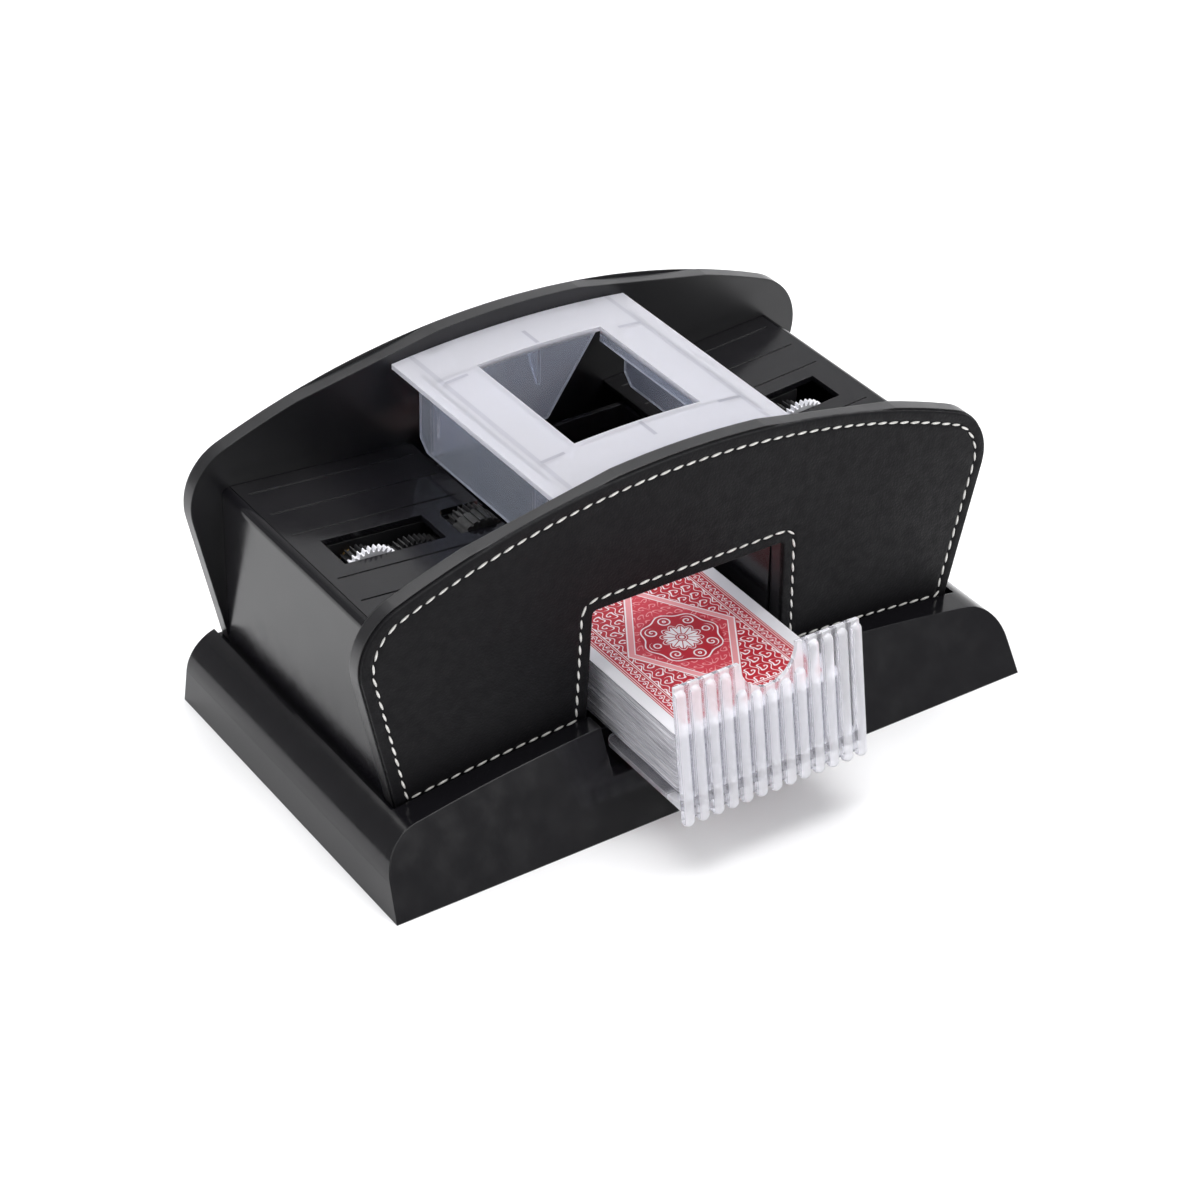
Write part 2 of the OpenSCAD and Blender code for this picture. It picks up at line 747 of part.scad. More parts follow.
// One deflector at a window edge: full height at one side, cut on a slant at the other
module deflector() {
    polygon([[-gate_x, gate_z + 0.6], [4, gate_z + 0.6], [window_half - 1.5, cover_h - 2],
             [window_half, cover_h], [-gate_x, cover_h]]);
}

module gusset(leg, drop) {
    polygon([[0, 0], [leg, 0], [0.8, -drop], [0, -drop]]);
}

module cover() color(FROST) {
    under = cover_h - cover_t;
    intersection() {
        upright(cover_front - 1, cover_back + 1) cover_outline();
        union() {
            difference() {
                upright(cover_front, cover_back) difference() {
                    translate([-cover_half, gate_z]) square([2 * cover_half, cover_h - gate_z]);
                    cover_outline(cover_t);
                }
                box([-window_half, window_front, gate_z], [window_half, window_back, cover_h + 1]);
            }
            for (side = [LEFT, RIGHT]) on_side(side) {
                sideways(gate_x, gate_x + cover_t - 0.2) cover_wall_yz();
                box([window_half, window_front, under - 4.5],
                    [window_half + 1.2, window_back, under]);
                for (y = [bay_mid - 27, bay_mid + 29])
                    translate([gate_x + 0.1, y, under - 0.3]) rotate([90, 0, 0])
                        mirror([1, 0, 0]) linear_extrude(1.2) gusset(8.5, 19);
                for (y = [cover_front, cover_back - ledge_w + 0.2])
                    box([27, y, ledge_z], [32, y + ledge_w - 0.2, under]);
            }
            upright(window_back, window_back + 1.5) deflector();
            upright(window_front - 1.5, window_front) mirror([1, 0]) deflector();
            translate([0.6, window_back + 1.4, under - 0.3]) rotate([0, 0, 90]) rotate([90, 0, 0])
                translate([0, 0, -0.6]) linear_extrude(1.2) gusset(9, 14);
            translate([-0.6, window_front - 1.4, under - 0.3]) rotate([0, 0, -90]) rotate([90, 0, 0])
                translate([0, 0, -0.6]) linear_extrude(1.2) gusset(9, 14);
        }
    }
}

// ---------------------------------------------------------------- tray and cards

// Places children on the tray's leaning front wall: x across, z up from the wall's top
module on_tray_wall() {
    translate([0, tray_top_y, tray_top]) rotate([-tray_angle, 0, 0]) children();
}

function rib_x(k) = (k - (rib_count - 1) / 2) * (2 * (tray_half - rib_r) / (rib_count - 1));
function rib_drop(x) = rib_r + (abs(x) < notch_r + rib_r ? notch_r + 1.4 - abs(x) / 3 : 1);

module card_tray() color(FROST) {
    wall_l = (tray_top - tray_low_z) / cos(tray_angle);
    rear_r = 4;
    low = rib_r - wall_l - rib_below;
    on_tray_wall() {
        difference() {
            translate([-tray_wall_half, 0, -wall_l]) cube([2 * tray_wall_half, tray_t, wall_l]);
            translate([0, 3, 0]) rotate([90, 0, 0]) cylinder(r = notch_r, h = 6, $fn = 72);
        }
        for (k = [0:rib_count - 1]) {
            drop = rib_drop(rib_x(k));
            intersection() {
                translate([rib_x(k), 0.3, 0]) {
                    translate([0, 0, low]) cylinder(r = rib_r, h = -drop - low);
                    translate([0, 0, -drop]) sphere(rib_r);
                    translate([0, 0, low]) sphere(rib_r);
                }
                translate([rib_x(k) - rib_r, -rib_r, -wall_l - rib_below])
                    cube([2 * rib_r, rib_r + rib_back, wall_l + rib_below]);
            }
        }
    }
    difference() {
        union() {
            floor_sheet(rear_r);
        }
        sideways(-tray_half, tray_half)
            polygon([[tray_low_y - 6, 0], [tray_inside(0) - tray_t / 2, 0],
                     [tray_inside(40) - tray_t / 2, 40], [tray_low_y - 6, 40]]);
    }
    sideways(-tray_wall_half, tray_wall_half) {
        f = tray_inside(tray_floor_top);
        polygon([[f - 0.4, tray_floor_top - 0.4], [f + 3.4, tray_floor_top - 0.4],
                 [f + 3.4, tray_floor_top], [f + 1.1, tray_floor_top + 1.2],
                 [tray_inside(tray_floor_top + 4), tray_floor_top + 4],
                 [tray_inside(tray_floor_top + 4) - 0.4, tray_floor_top + 4]]);
    }
    box([-tongue_half, tray_back_y - 2, tray_floor_z], [tongue_half, tongue_back_y, tray_floor_top]);
}

module floor_sheet(rear_r) {
    y0 = tray_low_y - 2;
    w = tray_wall_half;
    box([-w, y0, tray_floor_z], [w, tray_back_y - rear_r, tray_floor_top]);
    box([rear_r - w, y0, tray_floor_z], [w - rear_r, tray_back_y, tray_floor_top]);
    for (side = [LEFT, RIGHT])
        translate([side * (w - rear_r), tray_back_y - rear_r, tray_floor_z])
            cylinder(r = rear_r, h = tray_floor_t);
}

module card_deck() color("#b52a3a") {
    z0 = tray_floor_top;
    z1 = z0 + stack_h;
    low = tray_inside(z0) + 3.6;
    high = tray_inside(z1) + 0.2;
    sideways(-card_w / 2, card_w / 2)
        polygon([[low, z0], [low + card_l, z0], [high + card_l, z1], [high, z1]]);
}

// ---------------------------------------------------------------- drive

// Spur gear outline with involute flanks, first tooth along +X
module gear_outline(teeth) {
    r = teeth * gear_m / 2;
    base_r = r * cos(20);
    tip = r + gear_m;
    root = r - 1.25 * gear_m;
    half = 90 / teeth - tooth_play / 2 / r * 180 / PI;
    function roll(radius) = let (a = acos(min(1, base_r / radius))) tan(a) * 180 / PI - a;
    function flank(radius) = half + roll(r) - roll(max(radius, base_r));
    radii = [root, for (k = [0:4]) let (low = max(root + 0.02, base_r)) low + (tip - low) * k / 4];
    polygon([for (k = [0:teeth - 1], s = [-1, 1], n = [0:5])
        let (radius = radii[s < 0 ? n : 5 - n], angle = k * 360 / teeth + s * flank(radius))
        radius * [cos(angle), sin(angle)]]);
}

module gear(x, z, teeth, turn, y0, y1, bore) {
    difference() {
        translate([x, y1, z]) rotate([90, 0, 0]) rotate(turn) linear_extrude(y1 - y0)
            gear_outline(teeth);
        bar(x, z, bore, y0 - 1, y1 + 1);
    }
}

function axes(side) = [[feed_x, feed_z], [idler_x(side), idler_z(side)],
                       [kicker_x(side), kicker_z(side)]];
bush_r = 2.6;
bush_flange_r = 3.4;

// Outline of a gearbox plate, below the sloping hopper floor
module gearbox_outline(side) {
    low = deck_z;
    x0 = bin_out + 0.8;
    x1 = max(kicker_x(side) + 8, motor_x(side) + motor_r + 4);
    gap = 0.5;
    polygon([[x0, low], [x1, low], [x1, floor_under(x1) - gap], [x0, floor_under(x0) - gap]]);
}

module gearbox_plate(side, y0, y1, foot0, foot1) {
    on_side(side) difference() {
        union() {
            upright(y0, y1) gearbox_outline(side);
            box([bin_out + 6, foot0, deck_z], [bin_out + 20, foot1, deck_z + gearbox_t]);
            box([kicker_x(side) - 14, foot0, deck_z], [kicker_x(side), foot1, deck_z + gearbox_t]);
        }
        for (axis = axes(side)) bar(axis[0], axis[1], bush_r, y0 - 1, y1 + 1);
        bar(motor_x(side), motor_z(side), 3.2, y0 - 1, y1 + 1);
        upright(y0 - 1, y1 + 1) translate([idler_x(side) - 13, deck_z + 7])
            square([8, 9]);
    }
}

module gearbox_front(side) color("#232226") {
    gearbox_plate(side, front_plate_y, front_plate_y + gearbox_t,
                  front_plate_y - 7, front_plate_y + gearbox_t);
}

module gearbox_rear(side) color("#232226") {
    gearbox_plate(side, rear_plate_y, rear_plate_y + gearbox_t,
                  rear_plate_y, rear_plate_y + gearbox_t + 7);
}

function gearbox_posts_at(side) =
    [[bin_out + 4.6, 48], [bin_out + 4.6, deck_z + 6],
     [max(kicker_x(side) + 8, motor_x(side) + motor_r + 4) - 4.5, 54],
     [max(kicker_x(side) + 8, motor_x(side) + motor_r + 4) - 4.5, deck_z + 6]];

module gearbox_posts(side) color("silver") {
    on_side(side) for (place = gearbox_posts_at(side))
        bar(place[0], place[1], 2, front_plate_y + gearbox_t, rear_plate_y);
}

module bushes(side) color("#b08d4a") {
    on_side(side) for (axis = axes(side)) difference() {
        union() {
            bar(axis[0], axis[1], bush_r, front_plate_y, front_plate_y + gearbox_t);
            bar(axis[0], axis[1], bush_flange_r, front_plate_y + gearbox_t,
                front_plate_y + gearbox_t + 0.6);
            bar(axis[0], axis[1], bush_r, rear_plate_y, rear_plate_y + gearbox_t);
            bar(axis[0], axis[1], bush_flange_r, rear_plate_y - 0.6, rear_plate_y);
        }
        bar(axis[0], axis[1], shaft_r + shaft_clear, front_plate_y - 1, rear_plate_y + gearbox_t + 1);
    }
}

module motor(side) color("#b9bcc0") {
    y0 = rear_plate_y + gearbox_t;
    x = motor_x(side);
    z = motor_z(side);
    on_side(side) difference() {
        union() {
            bar(x, z, motor_r, y0, y0 + motor_l);
            bar(x, z, 3.1, y0 - gearbox_t, y0);
            bar(x, z, 2.4, y0 + motor_l, y0 + motor_l + 1.8);
            box([x - 6, y0 + motor_l, z + 3.4], [x - 4, y0 + motor_l + 4, z + 3.9]);
            box([x + 4, y0 + motor_l, z + 3.4], [x + 6, y0 + motor_l + 4, z + 3.9]);
        }
        bar(x, z, 1.05, y0 - gearbox_t - 1, y0 + 10);
    }
}

module motor_pinion(side) color("white") {
    on_side(side) {
        gear(motor_x(side), motor_z(side), pinion_teeth, pinion_turn(side),
             gear_front - 0.3, gear_front + gear_w + 0.3, 0.99);
        bar(motor_x(side), motor_z(side), 1, gear_front - 0.8, rear_plate_y + gearbox_t + 9);
    }
}

module shaft(side, x, z) color("silver") {
    on_side(side) bar(x, z, shaft_r, shaft_front, shaft_back);
}

module idler_gear(side) color("#2c2c2e") {
    x = idler_x(side);
    z = idler_z(side);
    r = idler_r(side);
    on_side(side) {
        difference() {
            gear(x, z, idler_teeth(side), 0, gear_front, gear_front + gear_w, shaft_r);
            for (turn = [0:5]) rotate_about(x, z, turn * 60)
                bar(x + r * 0.62, z, r * 0.2, gear_front - 1, gear_front + gear_w + 1);
        }
        difference() {
            bar(x, z, 3, front_plate_y + gearbox_t + 0.9, gear_front);
            bar(x, z, shaft_r, front_plate_y, gear_front + 1);
        }
    }
}

module feed_gear(side) color("#2c2c2e") {
    on_side(side)
        gear(feed_x, feed_z, feed_teeth, feed_turn(side), gear_front, gear_front + gear_w, shaft_r);
}

module feed_tyre(side) color("#2c2c2e") {
    rib_deep = 0.7;
    on_side(side) difference() {
        bar(feed_x, feed_z, tyre_r, wheel_front, wheel_front + tyre_w);
        bar(feed_x, feed_z, shaft_r, wheel_front - 1, wheel_front + tyre_w + 1);
        for (k = [0:tyre_ribs - 1]) rotate_about(feed_x, feed_z, k * 360 / tyre_ribs)
            box([feed_x + tyre_r - rib_deep, wheel_front - 1, feed_z - 0.45],
                [feed_x + tyre_r + 1, wheel_front + tyre_w + 1, feed_z + 0.45]);
    }
}

module kicker_wheel(side) color("white") {
    on_side(side)
        gear(kicker_x(side), kicker_z(side), kicker_teeth, 0,
             wheel_front, wheel_front + kicker_w, shaft_r);
}

module kicker_gear(side) color("#2c2c2e") {
    on_side(side)
        gear(kicker_x(side), kicker_z(side), kicker_gear_teeth, kicker_turn(side),
             gear_front, gear_front + gear_w, shaft_r);
}

module left_gearbox_front() { gearbox_front(LEFT); }
module left_gearbox_rear() { gearbox_rear(LEFT); }
module left_gearbox_posts() { gearbox_posts(LEFT); }
module left_bushes() { bushes(LEFT); }
module left_motor() { motor(LEFT); }
module left_motor_pinion() { motor_pinion(LEFT); }
module left_idler_shaft() { shaft(LEFT, idler_x(LEFT), idler_z(LEFT)); }
module left_idler_gear() { idler_gear(LEFT); }
module left_feed_shaft() { shaft(LEFT, feed_x, feed_z); }
module left_feed_gear() { feed_gear(LEFT); }
module left_feed_tyre() { feed_tyre(LEFT); }
module left_kicker_shaft() { shaft(LEFT, kicker_x(LEFT), kicker_z(LEFT)); }
module left_kicker_wheel() { kicker_wheel(LEFT); }
module left_kicker_gear() { kicker_gear(LEFT); }
module right_gearbox_front() { gearbox_front(RIGHT); }
module right_gearbox_rear() { gearbox_rear(RIGHT); }
module right_gearbox_posts() { gearbox_posts(RIGHT); }
module right_bushes() { bushes(RIGHT); }
module right_motor() { motor(RIGHT); }
module right_motor_pinion() { motor_pinion(RIGHT); }
module right_idler_shaft() { shaft(RIGHT, idler_x(RIGHT), idler_z(RIGHT)); }
module right_idler_gear() { idler_gear(RIGHT); }
module right_feed_shaft() { shaft(RIGHT, feed_x, feed_z); }
module right_feed_gear() { feed_gear(RIGHT); }
module right_feed_tyre() { feed_tyre(RIGHT); }
module right_kicker_shaft() { shaft(RIGHT, kicker_x(RIGHT), kicker_z(RIGHT)); }
module right_kicker_wheel() { kicker_wheel(RIGHT); }
module right_kicker_gear() { kicker_gear(RIGHT); }

base_shell();
bottom_plate();
base_feet();
bottom_screws();
frame_screws();
battery_box();
battery_cells();
battery_contacts();
battery_door();
start_switch();
button_spring();
start_button();
front_board();
front_leather();
back_board();
back_leather();
board_screws();
left_end_wall();
right_end_wall();
left_hopper_floor();
right_hopper_floor();
bin_walls();
tray_guide();
cover_ledges();
cover();
card_tray();
card_deck();
left_gearbox_front();
left_gearbox_rear();
left_gearbox_posts();
left_bushes();
left_motor();
left_motor_pinion();
left_idler_shaft();
left_idler_gear();
left_feed_shaft();
left_feed_gear();
left_feed_tyre();
left_kicker_shaft();
left_kicker_wheel();
left_kicker_gear();
right_gearbox_front();
right_gearbox_rear();
right_gearbox_posts();
right_bushes();
right_motor();
right_motor_pinion();
right_idler_shaft();
right_idler_gear();
right_feed_shaft();
right_feed_gear();
right_feed_tyre();
right_kicker_shaft();
right_kicker_wheel();
right_kicker_gear();
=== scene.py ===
import bmesh
import bpy
import math
import random
from mathutils import Matrix, Vector


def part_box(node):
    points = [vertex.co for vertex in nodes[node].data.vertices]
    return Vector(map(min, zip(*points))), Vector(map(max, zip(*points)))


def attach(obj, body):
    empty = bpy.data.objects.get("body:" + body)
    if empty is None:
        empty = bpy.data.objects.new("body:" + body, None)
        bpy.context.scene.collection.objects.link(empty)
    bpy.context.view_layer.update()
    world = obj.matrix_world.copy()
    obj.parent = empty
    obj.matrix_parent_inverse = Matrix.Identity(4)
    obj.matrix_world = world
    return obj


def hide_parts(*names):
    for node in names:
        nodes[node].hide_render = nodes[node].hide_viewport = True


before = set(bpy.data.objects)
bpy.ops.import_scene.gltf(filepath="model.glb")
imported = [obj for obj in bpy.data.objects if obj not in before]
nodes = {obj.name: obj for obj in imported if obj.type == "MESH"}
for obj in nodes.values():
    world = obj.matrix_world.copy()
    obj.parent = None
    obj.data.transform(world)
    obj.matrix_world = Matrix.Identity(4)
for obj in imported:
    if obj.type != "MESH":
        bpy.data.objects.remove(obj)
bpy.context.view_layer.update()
MM = 0.001


# ---------------------------------------------------------------- studio
# A seamless pale sweep with soft boxes round it and a long lens on the front left corner,
# as small goods are usually shown. The sweep isn't part of the machine.

def plain_material(name, colour, rough):
    material = bpy.data.materials.new(name)
    material.use_nodes = True
    shader = material.node_tree.nodes["Principled BSDF"]
    shader.inputs["Base Color"].default_value = (*colour, 1)
    shader.inputs["Roughness"].default_value = rough
    return material


def grain_bump(material, layers):
    """Adds fine relief to a material. Each layer is (kind, detail in mm, height in mm)."""
    tree = material.node_tree
    shader = tree.nodes["Principled BSDF"]
    place = tree.nodes.new("ShaderNodeTexCoord")
    normal = None
    for kind, size, height in layers:
        if kind == "cells":
            pattern = tree.nodes.new("ShaderNodeTexVoronoi")
            pattern.feature = "SMOOTH_F1"
            pattern.inputs["Smoothness"].default_value = 0.35
            out = pattern.outputs["Distance"]
        else:
            pattern = tree.nodes.new("ShaderNodeTexNoise")
            pattern.inputs["Detail"].default_value = 3
            out = pattern.outputs["Fac"]
        pattern.inputs["Scale"].default_value = 1 / (size * MM)
        tree.links.new(place.outputs["Object"], pattern.inputs["Vector"])
        bump = tree.nodes.new("ShaderNodeBump")
        bump.inputs["Distance"].default_value = height * MM
        tree.links.new(out, bump.inputs["Height"])
        if normal:
            tree.links.new(normal, bump.inputs["Normal"])
        normal = bump.outputs["Normal"]
    tree.links.new(normal, shader.inputs["Normal"])


def vary(material, socket, size, low, high, detail=4.0):
    """Drives a shader socket between two values with cloudy noise of the given size in mm."""
    tree = material.node_tree
    shader = tree.nodes["Principled BSDF"]
    place = tree.nodes.new("ShaderNodeTexCoord")
    noise = tree.nodes.new("ShaderNodeTexNoise")
    noise.inputs["Scale"].default_value = 1 / (size * MM)
    noise.inputs["Detail"].default_value = detail
    tree.links.new(place.outputs["Object"], noise.inputs["Vector"])
    ramp = tree.nodes.new("ShaderNodeValToRGB")
    ramp.color_ramp.elements[0].position = 0.35
    ramp.color_ramp.elements[1].position = 0.65
    for element, value in zip(ramp.color_ramp.elements, (low, high)):
        element.color = (*value, 1) if hasattr(value, "__len__") else (value, value, value, 1)
    tree.links.new(noise.outputs["Fac"], ramp.inputs["Fac"])
    tree.links.new(ramp.outputs["Color"], shader.inputs[socket])


def soften_edges(material, radius):
    """Rounds the look of moulded edges by radius mm, under any relief the material already has."""
    tree = material.node_tree
    bevel = tree.nodes.new("ShaderNodeBevel")
    bevel.samples = 4
    bevel.inputs["Radius"].default_value = radius * MM
    first = [n for n in tree.nodes
             if n.bl_idname == "ShaderNodeBump" and not n.inputs["Normal"].links]
    target = first[0] if first else tree.nodes["Principled BSDF"]
    tree.links.new(bevel.outputs["Normal"], target.inputs["Normal"])


def finish(material, *names):
    """Gives CAD nodes their finished material."""
    for name in names:
        slots = nodes[name].data.materials
        for i in range(len(slots)):
            slots[i] = material
        if not len(slots):
            slots.append(material)


def make_mesh(name, vertices, faces, material, body):
    """A finished piece, given in millimetres, riding on a CAD body."""
    mesh = bpy.data.meshes.new(name)
    mesh.from_pydata([tuple(c * MM for c in v) for v in vertices], [], faces)
    mesh.materials.append(material)
    mesh.validate()
    piece = bpy.data.objects.new(name, mesh)
    bpy.context.scene.collection.objects.link(piece)
    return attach(piece, body)


sweep_mesh = bpy.data.meshes.new("sweep")
sweep_run = [(-1.6, 0)] + [(0.9 + 0.5 * math.sin(a), 0.5 - 0.5 * math.cos(a))
                           for a in [i * math.pi / 24 for i in range(13)]] + [(1.4, 2.2)]
sweep_mesh.from_pydata([(s * 3.0, y, z) for y, z in sweep_run for s in (-1, 1)], [],
                       [(2 * i, 2 * i + 1, 2 * i + 3, 2 * i + 2)
                        for i in range(len(sweep_run) - 1)])
sweep = bpy.data.objects.new("sweep", sweep_mesh)
sweep_paper = plain_material("sweep_paper", (0.9, 0.9, 0.91), 0.7)
sweep_mesh.materials.append(sweep_paper)
bpy.context.scene.collection.objects.link(sweep)
sweep.rotation_euler[2] = math.radians(-35)

camera = bpy.data.objects.new("camera", bpy.data.cameras.new("camera"))
camera.data.sensor_width = 36
camera.data.lens = 93.292
camera.data.clip_end = 20
camera.matrix_world = (Matrix.Translation((-0.486467, -0.689237, 0.613875))
                       @ Matrix.Rotation(math.radians(-35.0214), 4, "Z")
                       @ Matrix.Rotation(math.radians(90 - 34.4678), 4, "X")
                       @ Matrix.Rotation(math.radians(1.6478), 4, "Z"))
bpy.context.scene.collection.objects.link(camera)
bpy.context.scene.camera = camera


def soft_box(name, place, aim, wide, tall, watts):
    light = bpy.data.lights.new(name, "AREA")
    light.shape = "RECTANGLE"
    light.size, light.size_y = wide, tall
    light.energy = watts
    lamp = bpy.data.objects.new(name, light)
    lamp.location = place
    lamp.rotation_euler = (Vector(aim) - Vector(place)).to_track_quat("-Z", "Y").to_euler()
    bpy.context.scene.collection.objects.link(lamp)


soft_box("top_box", (0.1, 0.25, 1.25), (0, 0, 0.05), 1.3, 1.0, 21)
soft_box("left_box", (-1.3, 0.2, 0.75), (0, 0, 0.05), 0.9, 1.0, 8)
soft_box("front_box", (0.5, -1.5, 0.9), (0, 0, 0.05), 1.2, 0.8, 15)
world = bpy.data.worlds.new("studio")
world.use_nodes = True
world.node_tree.nodes["Background"].inputs["Color"].default_value = (1, 1, 1, 1)
world.node_tree.nodes["Background"].inputs["Strength"].default_value = 0.35
bpy.context.scene.world = world
bpy.context.scene.view_settings.view_transform = "Standard"


# ---------------------------------------------------------------- base
# One polished black moulding with an arched top, closed from below by a satin plate that
# carries thin rubber feet, the battery door and plated cross-head screws.

base_black = plain_material("base_black", (0.006, 0.0057, 0.0072), 0.2)
base_black.node_tree.nodes["Principled BSDF"].inputs["Specular IOR Level"].default_value = 0.38
vary(base_black, "Roughness", 9, 0.12, 0.19)
grain_bump(base_black, [("noise", 6, 0.01)])
soften_edges(base_black, 0.5)
finish(base_black, "base_shell", "start_button")

satin_black = plain_material("satin_black", (0.004, 0.0038, 0.0045), 0.3)
vary(satin_black, "Roughness", 7, 0.22, 0.32)
grain_bump(satin_black, [("noise", 0.5, 0.006)])
soften_edges(satin_black, 0.25)
finish(satin_black, "bottom_plate", "battery_box", "battery_door", "tray_guide", "cover_ledges")

foot_rubber = plain_material("foot_rubber", (0.03, 0.03, 0.031), 0.85)
vary(foot_rubber, "Base Color", 3, (0.025, 0.025, 0.026), (0.05, 0.05, 0.05))
grain_bump(foot_rubber, [("noise", 0.4, 0.03)])
finish(foot_rubber, "base_feet")

zinc = plain_material("zinc", (0.55, 0.55, 0.57), 0.3)
zinc.node_tree.nodes["Principled BSDF"].inputs["Metallic"].default_value = 1
vary(zinc, "Roughness", 1.5, 0.22, 0.42)
grain_bump(zinc, [("noise", 0.3, 0.004)])
finish(zinc, "bottom_screws", "frame_screws", "board_screws")


# ---------------------------------------------------------------- side boards
# Two arched boards of dense black fibreboard, sprayed satin, with slightly eased edges. They
# stand in the sunken top of the base and are screwed to the end walls from inside.

board_black = plain_material("board_black", (0.006, 0.0058, 0.0072), 0.36)
board_black.node_tree.nodes["Principled BSDF"].inputs["Specular IOR Level"].default_value = 0.38
board_black.node_tree.nodes["Principled BSDF"].inputs["Coat Weight"].default_value = 0.2
board_black.node_tree.nodes["Principled BSDF"].inputs["Coat Roughness"].default_value = 0.25
vary(board_black, "Roughness", 12, 0.3, 0.4)
grain_bump(board_black, [("noise", 0.35, 0.008), ("noise", 9, 0.03)])
soften_edges(board_black, 0.7)
finish(board_black, "front_board", "back_board")


# ---------------------------------------------------------------- leather facings
# Black grained leather, 1.7 mm thick, glued over the outside of each board a little inside its
# edge. A row of stitches runs 4 mm in from the cut edge and pulls the leather down into a groove.

leather = plain_material("leather", (0.005, 0.005, 0.006), 0.52)
leather.node_tree.nodes["Principled BSDF"].inputs["Sheen Weight"].default_value = 0.015
leather.node_tree.nodes["Principled BSDF"].inputs["Sheen Roughness"].default_value = 0.4
leather.node_tree.nodes["Principled BSDF"].inputs["Specular IOR Level"].default_value = 0.12
vary(leather, "Base Color", 14, (0.0042, 0.004, 0.005), (0.005, 0.0048, 0.0058))
vary(leather, "Roughness", 3, 0.46, 0.62)
grain_bump(leather, [("cells", 0.85, 0.1), ("noise", 0.3, 0.03), ("noise", 7, 0.12)])

front_low, front_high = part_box("front_leather")
back_low, back_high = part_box("back_leather")
board_low, board_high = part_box("front_board")
deck = board_low.z / MM
crown = board_high.z / MM
edge_inset = crown - front_high.z / MM
arch_r, corner_r, lean = 284.0, 21.0, 0.22
foot = 122.6 - 14.6


def arc(centre, radius, start, end, step):
    """Points along an arc in the upright plane, angles in degrees, about step mm apart."""
    count = max(2, int(abs(math.radians(end - start)) * radius / step))
    return [(centre[0] + radius * math.cos(math.radians(start + (end - start) * i / count)),
             centre[1] + radius * math.sin(math.radians(start + (end - start) * i / count)))
            for i in range(count + 1)]


def leather_foot(x):
    """Height of the leather's lower edge, which follows the arched top of the base in front."""
    return max(20.5, 26.6 - 0.00059 * x * x)


def board_edge(inset):
    """The right half of a facing's outline from its foot to its crown, as (x, z) in mm."""
    n = math.hypot(1, lean)
    r, big = corner_r - inset, arch_r - inset
    low = foot - inset * n
    a = low - lean * deck - r * n
    below = crown - arch_r
    p, q = a * lean - below, 1 + lean * lean
    cz = (-p + math.sqrt(p * p - q * (a * a + below * below - (big - r) ** 2))) / q
    cx = a + lean * cz
    turn = math.degrees(math.atan2(cz - below, cx))
    side = math.degrees(math.atan2(-lean, 1))
    end = (cx + r / n, cz - r * lean / n)
    start = (low + lean * (leather_foot(low) - deck), leather_foot(low))
    rise = [(start[0] + (end[0] - start[0]) * i / 16, start[1] + (end[1] - start[1]) * i / 16)
            for i in range(16)]
    return rise + arc((cx, cz), r, side, turn, 1.2)[:-1] + arc((0, below), big, turn, 90, 3)


def mouth_edge():
    """The right half of the front opening from its foot to its middle, as (x, z) in mm."""
    half, flare, top, r = 36.8, 1.5, 69.5, 1.5
    low = leather_foot(half + flare)
    wide = half + flare * (top - r - low) / (top - r - deck)
    up = [(wide + (half - wide) * i / 12, low + (top - r - low) * i / 12) for i in range(12)]
    return up + arc((half - r, top - r), r, 0, 90, 0.8) + [(x, top) for x in (27, 18, 9, 0)]


def closed_outline(right, inner=None):
    """A closed anticlockwise outline from the right half of the edge, less the opening."""
    outline = right + [(-x, z) for x, z in reversed(right[:-1])]
    reach = inner[0][0] if inner else 0
    start = right[0][0]
    sill = [(start + (reach - start) * i / 20, leather_foot(start + (reach - start) * i / 20))
            for i in range(1, 20)]
    outline += [(-x, z) for x, z in sill]
    if inner:
        outline += [(-x, z) for x, z in inner] + list(reversed(inner[:-1]))
    else:
        outline.append((0, leather_foot(0)))
    return outline + list(reversed(sill))


def drawn_in(outline, inset):
    """The outline moved inwards. Where a corner squeezes points together they share its mitre."""
    points = [Vector(p) for p in outline]
    moved = []
    for i, p in enumerate(points):
        u = (p - points[i - 1]).normalized()
        v = (points[(i + 1) % len(points)] - p).normalized()
        nu, nv = Vector((-u.y, u.x)), Vector((-v.y, v.x))
        mitre = (nu + nv).normalized()
        moved.append(p + mitre * inset / max(0.5, mitre.dot(nu)))

    def clear(q):
        for a, b in zip(points, points[1:] + points[:1]):
            if abs(q.x - a.x) < inset + 12 and abs(q.y - a.y) < inset + 12:
                t = max(0, min(1, (q - a).dot(b - a) / (b - a).length_squared))
                if (q - a - (b - a) * t).length < inset * 0.98:
                    return False
        return True

    good = [clear(q) for q in moved]
    out = []
    for i, q in enumerate(moved):
        if not good[i]:
            near = [moved[(i + k) % len(moved)]
                    for k in range(-9, 10) if good[(i + k) % len(moved)]]
            q = min(near, key=lambda n: (n - q).length) if near else q
        out.append(tuple(q))
    return out


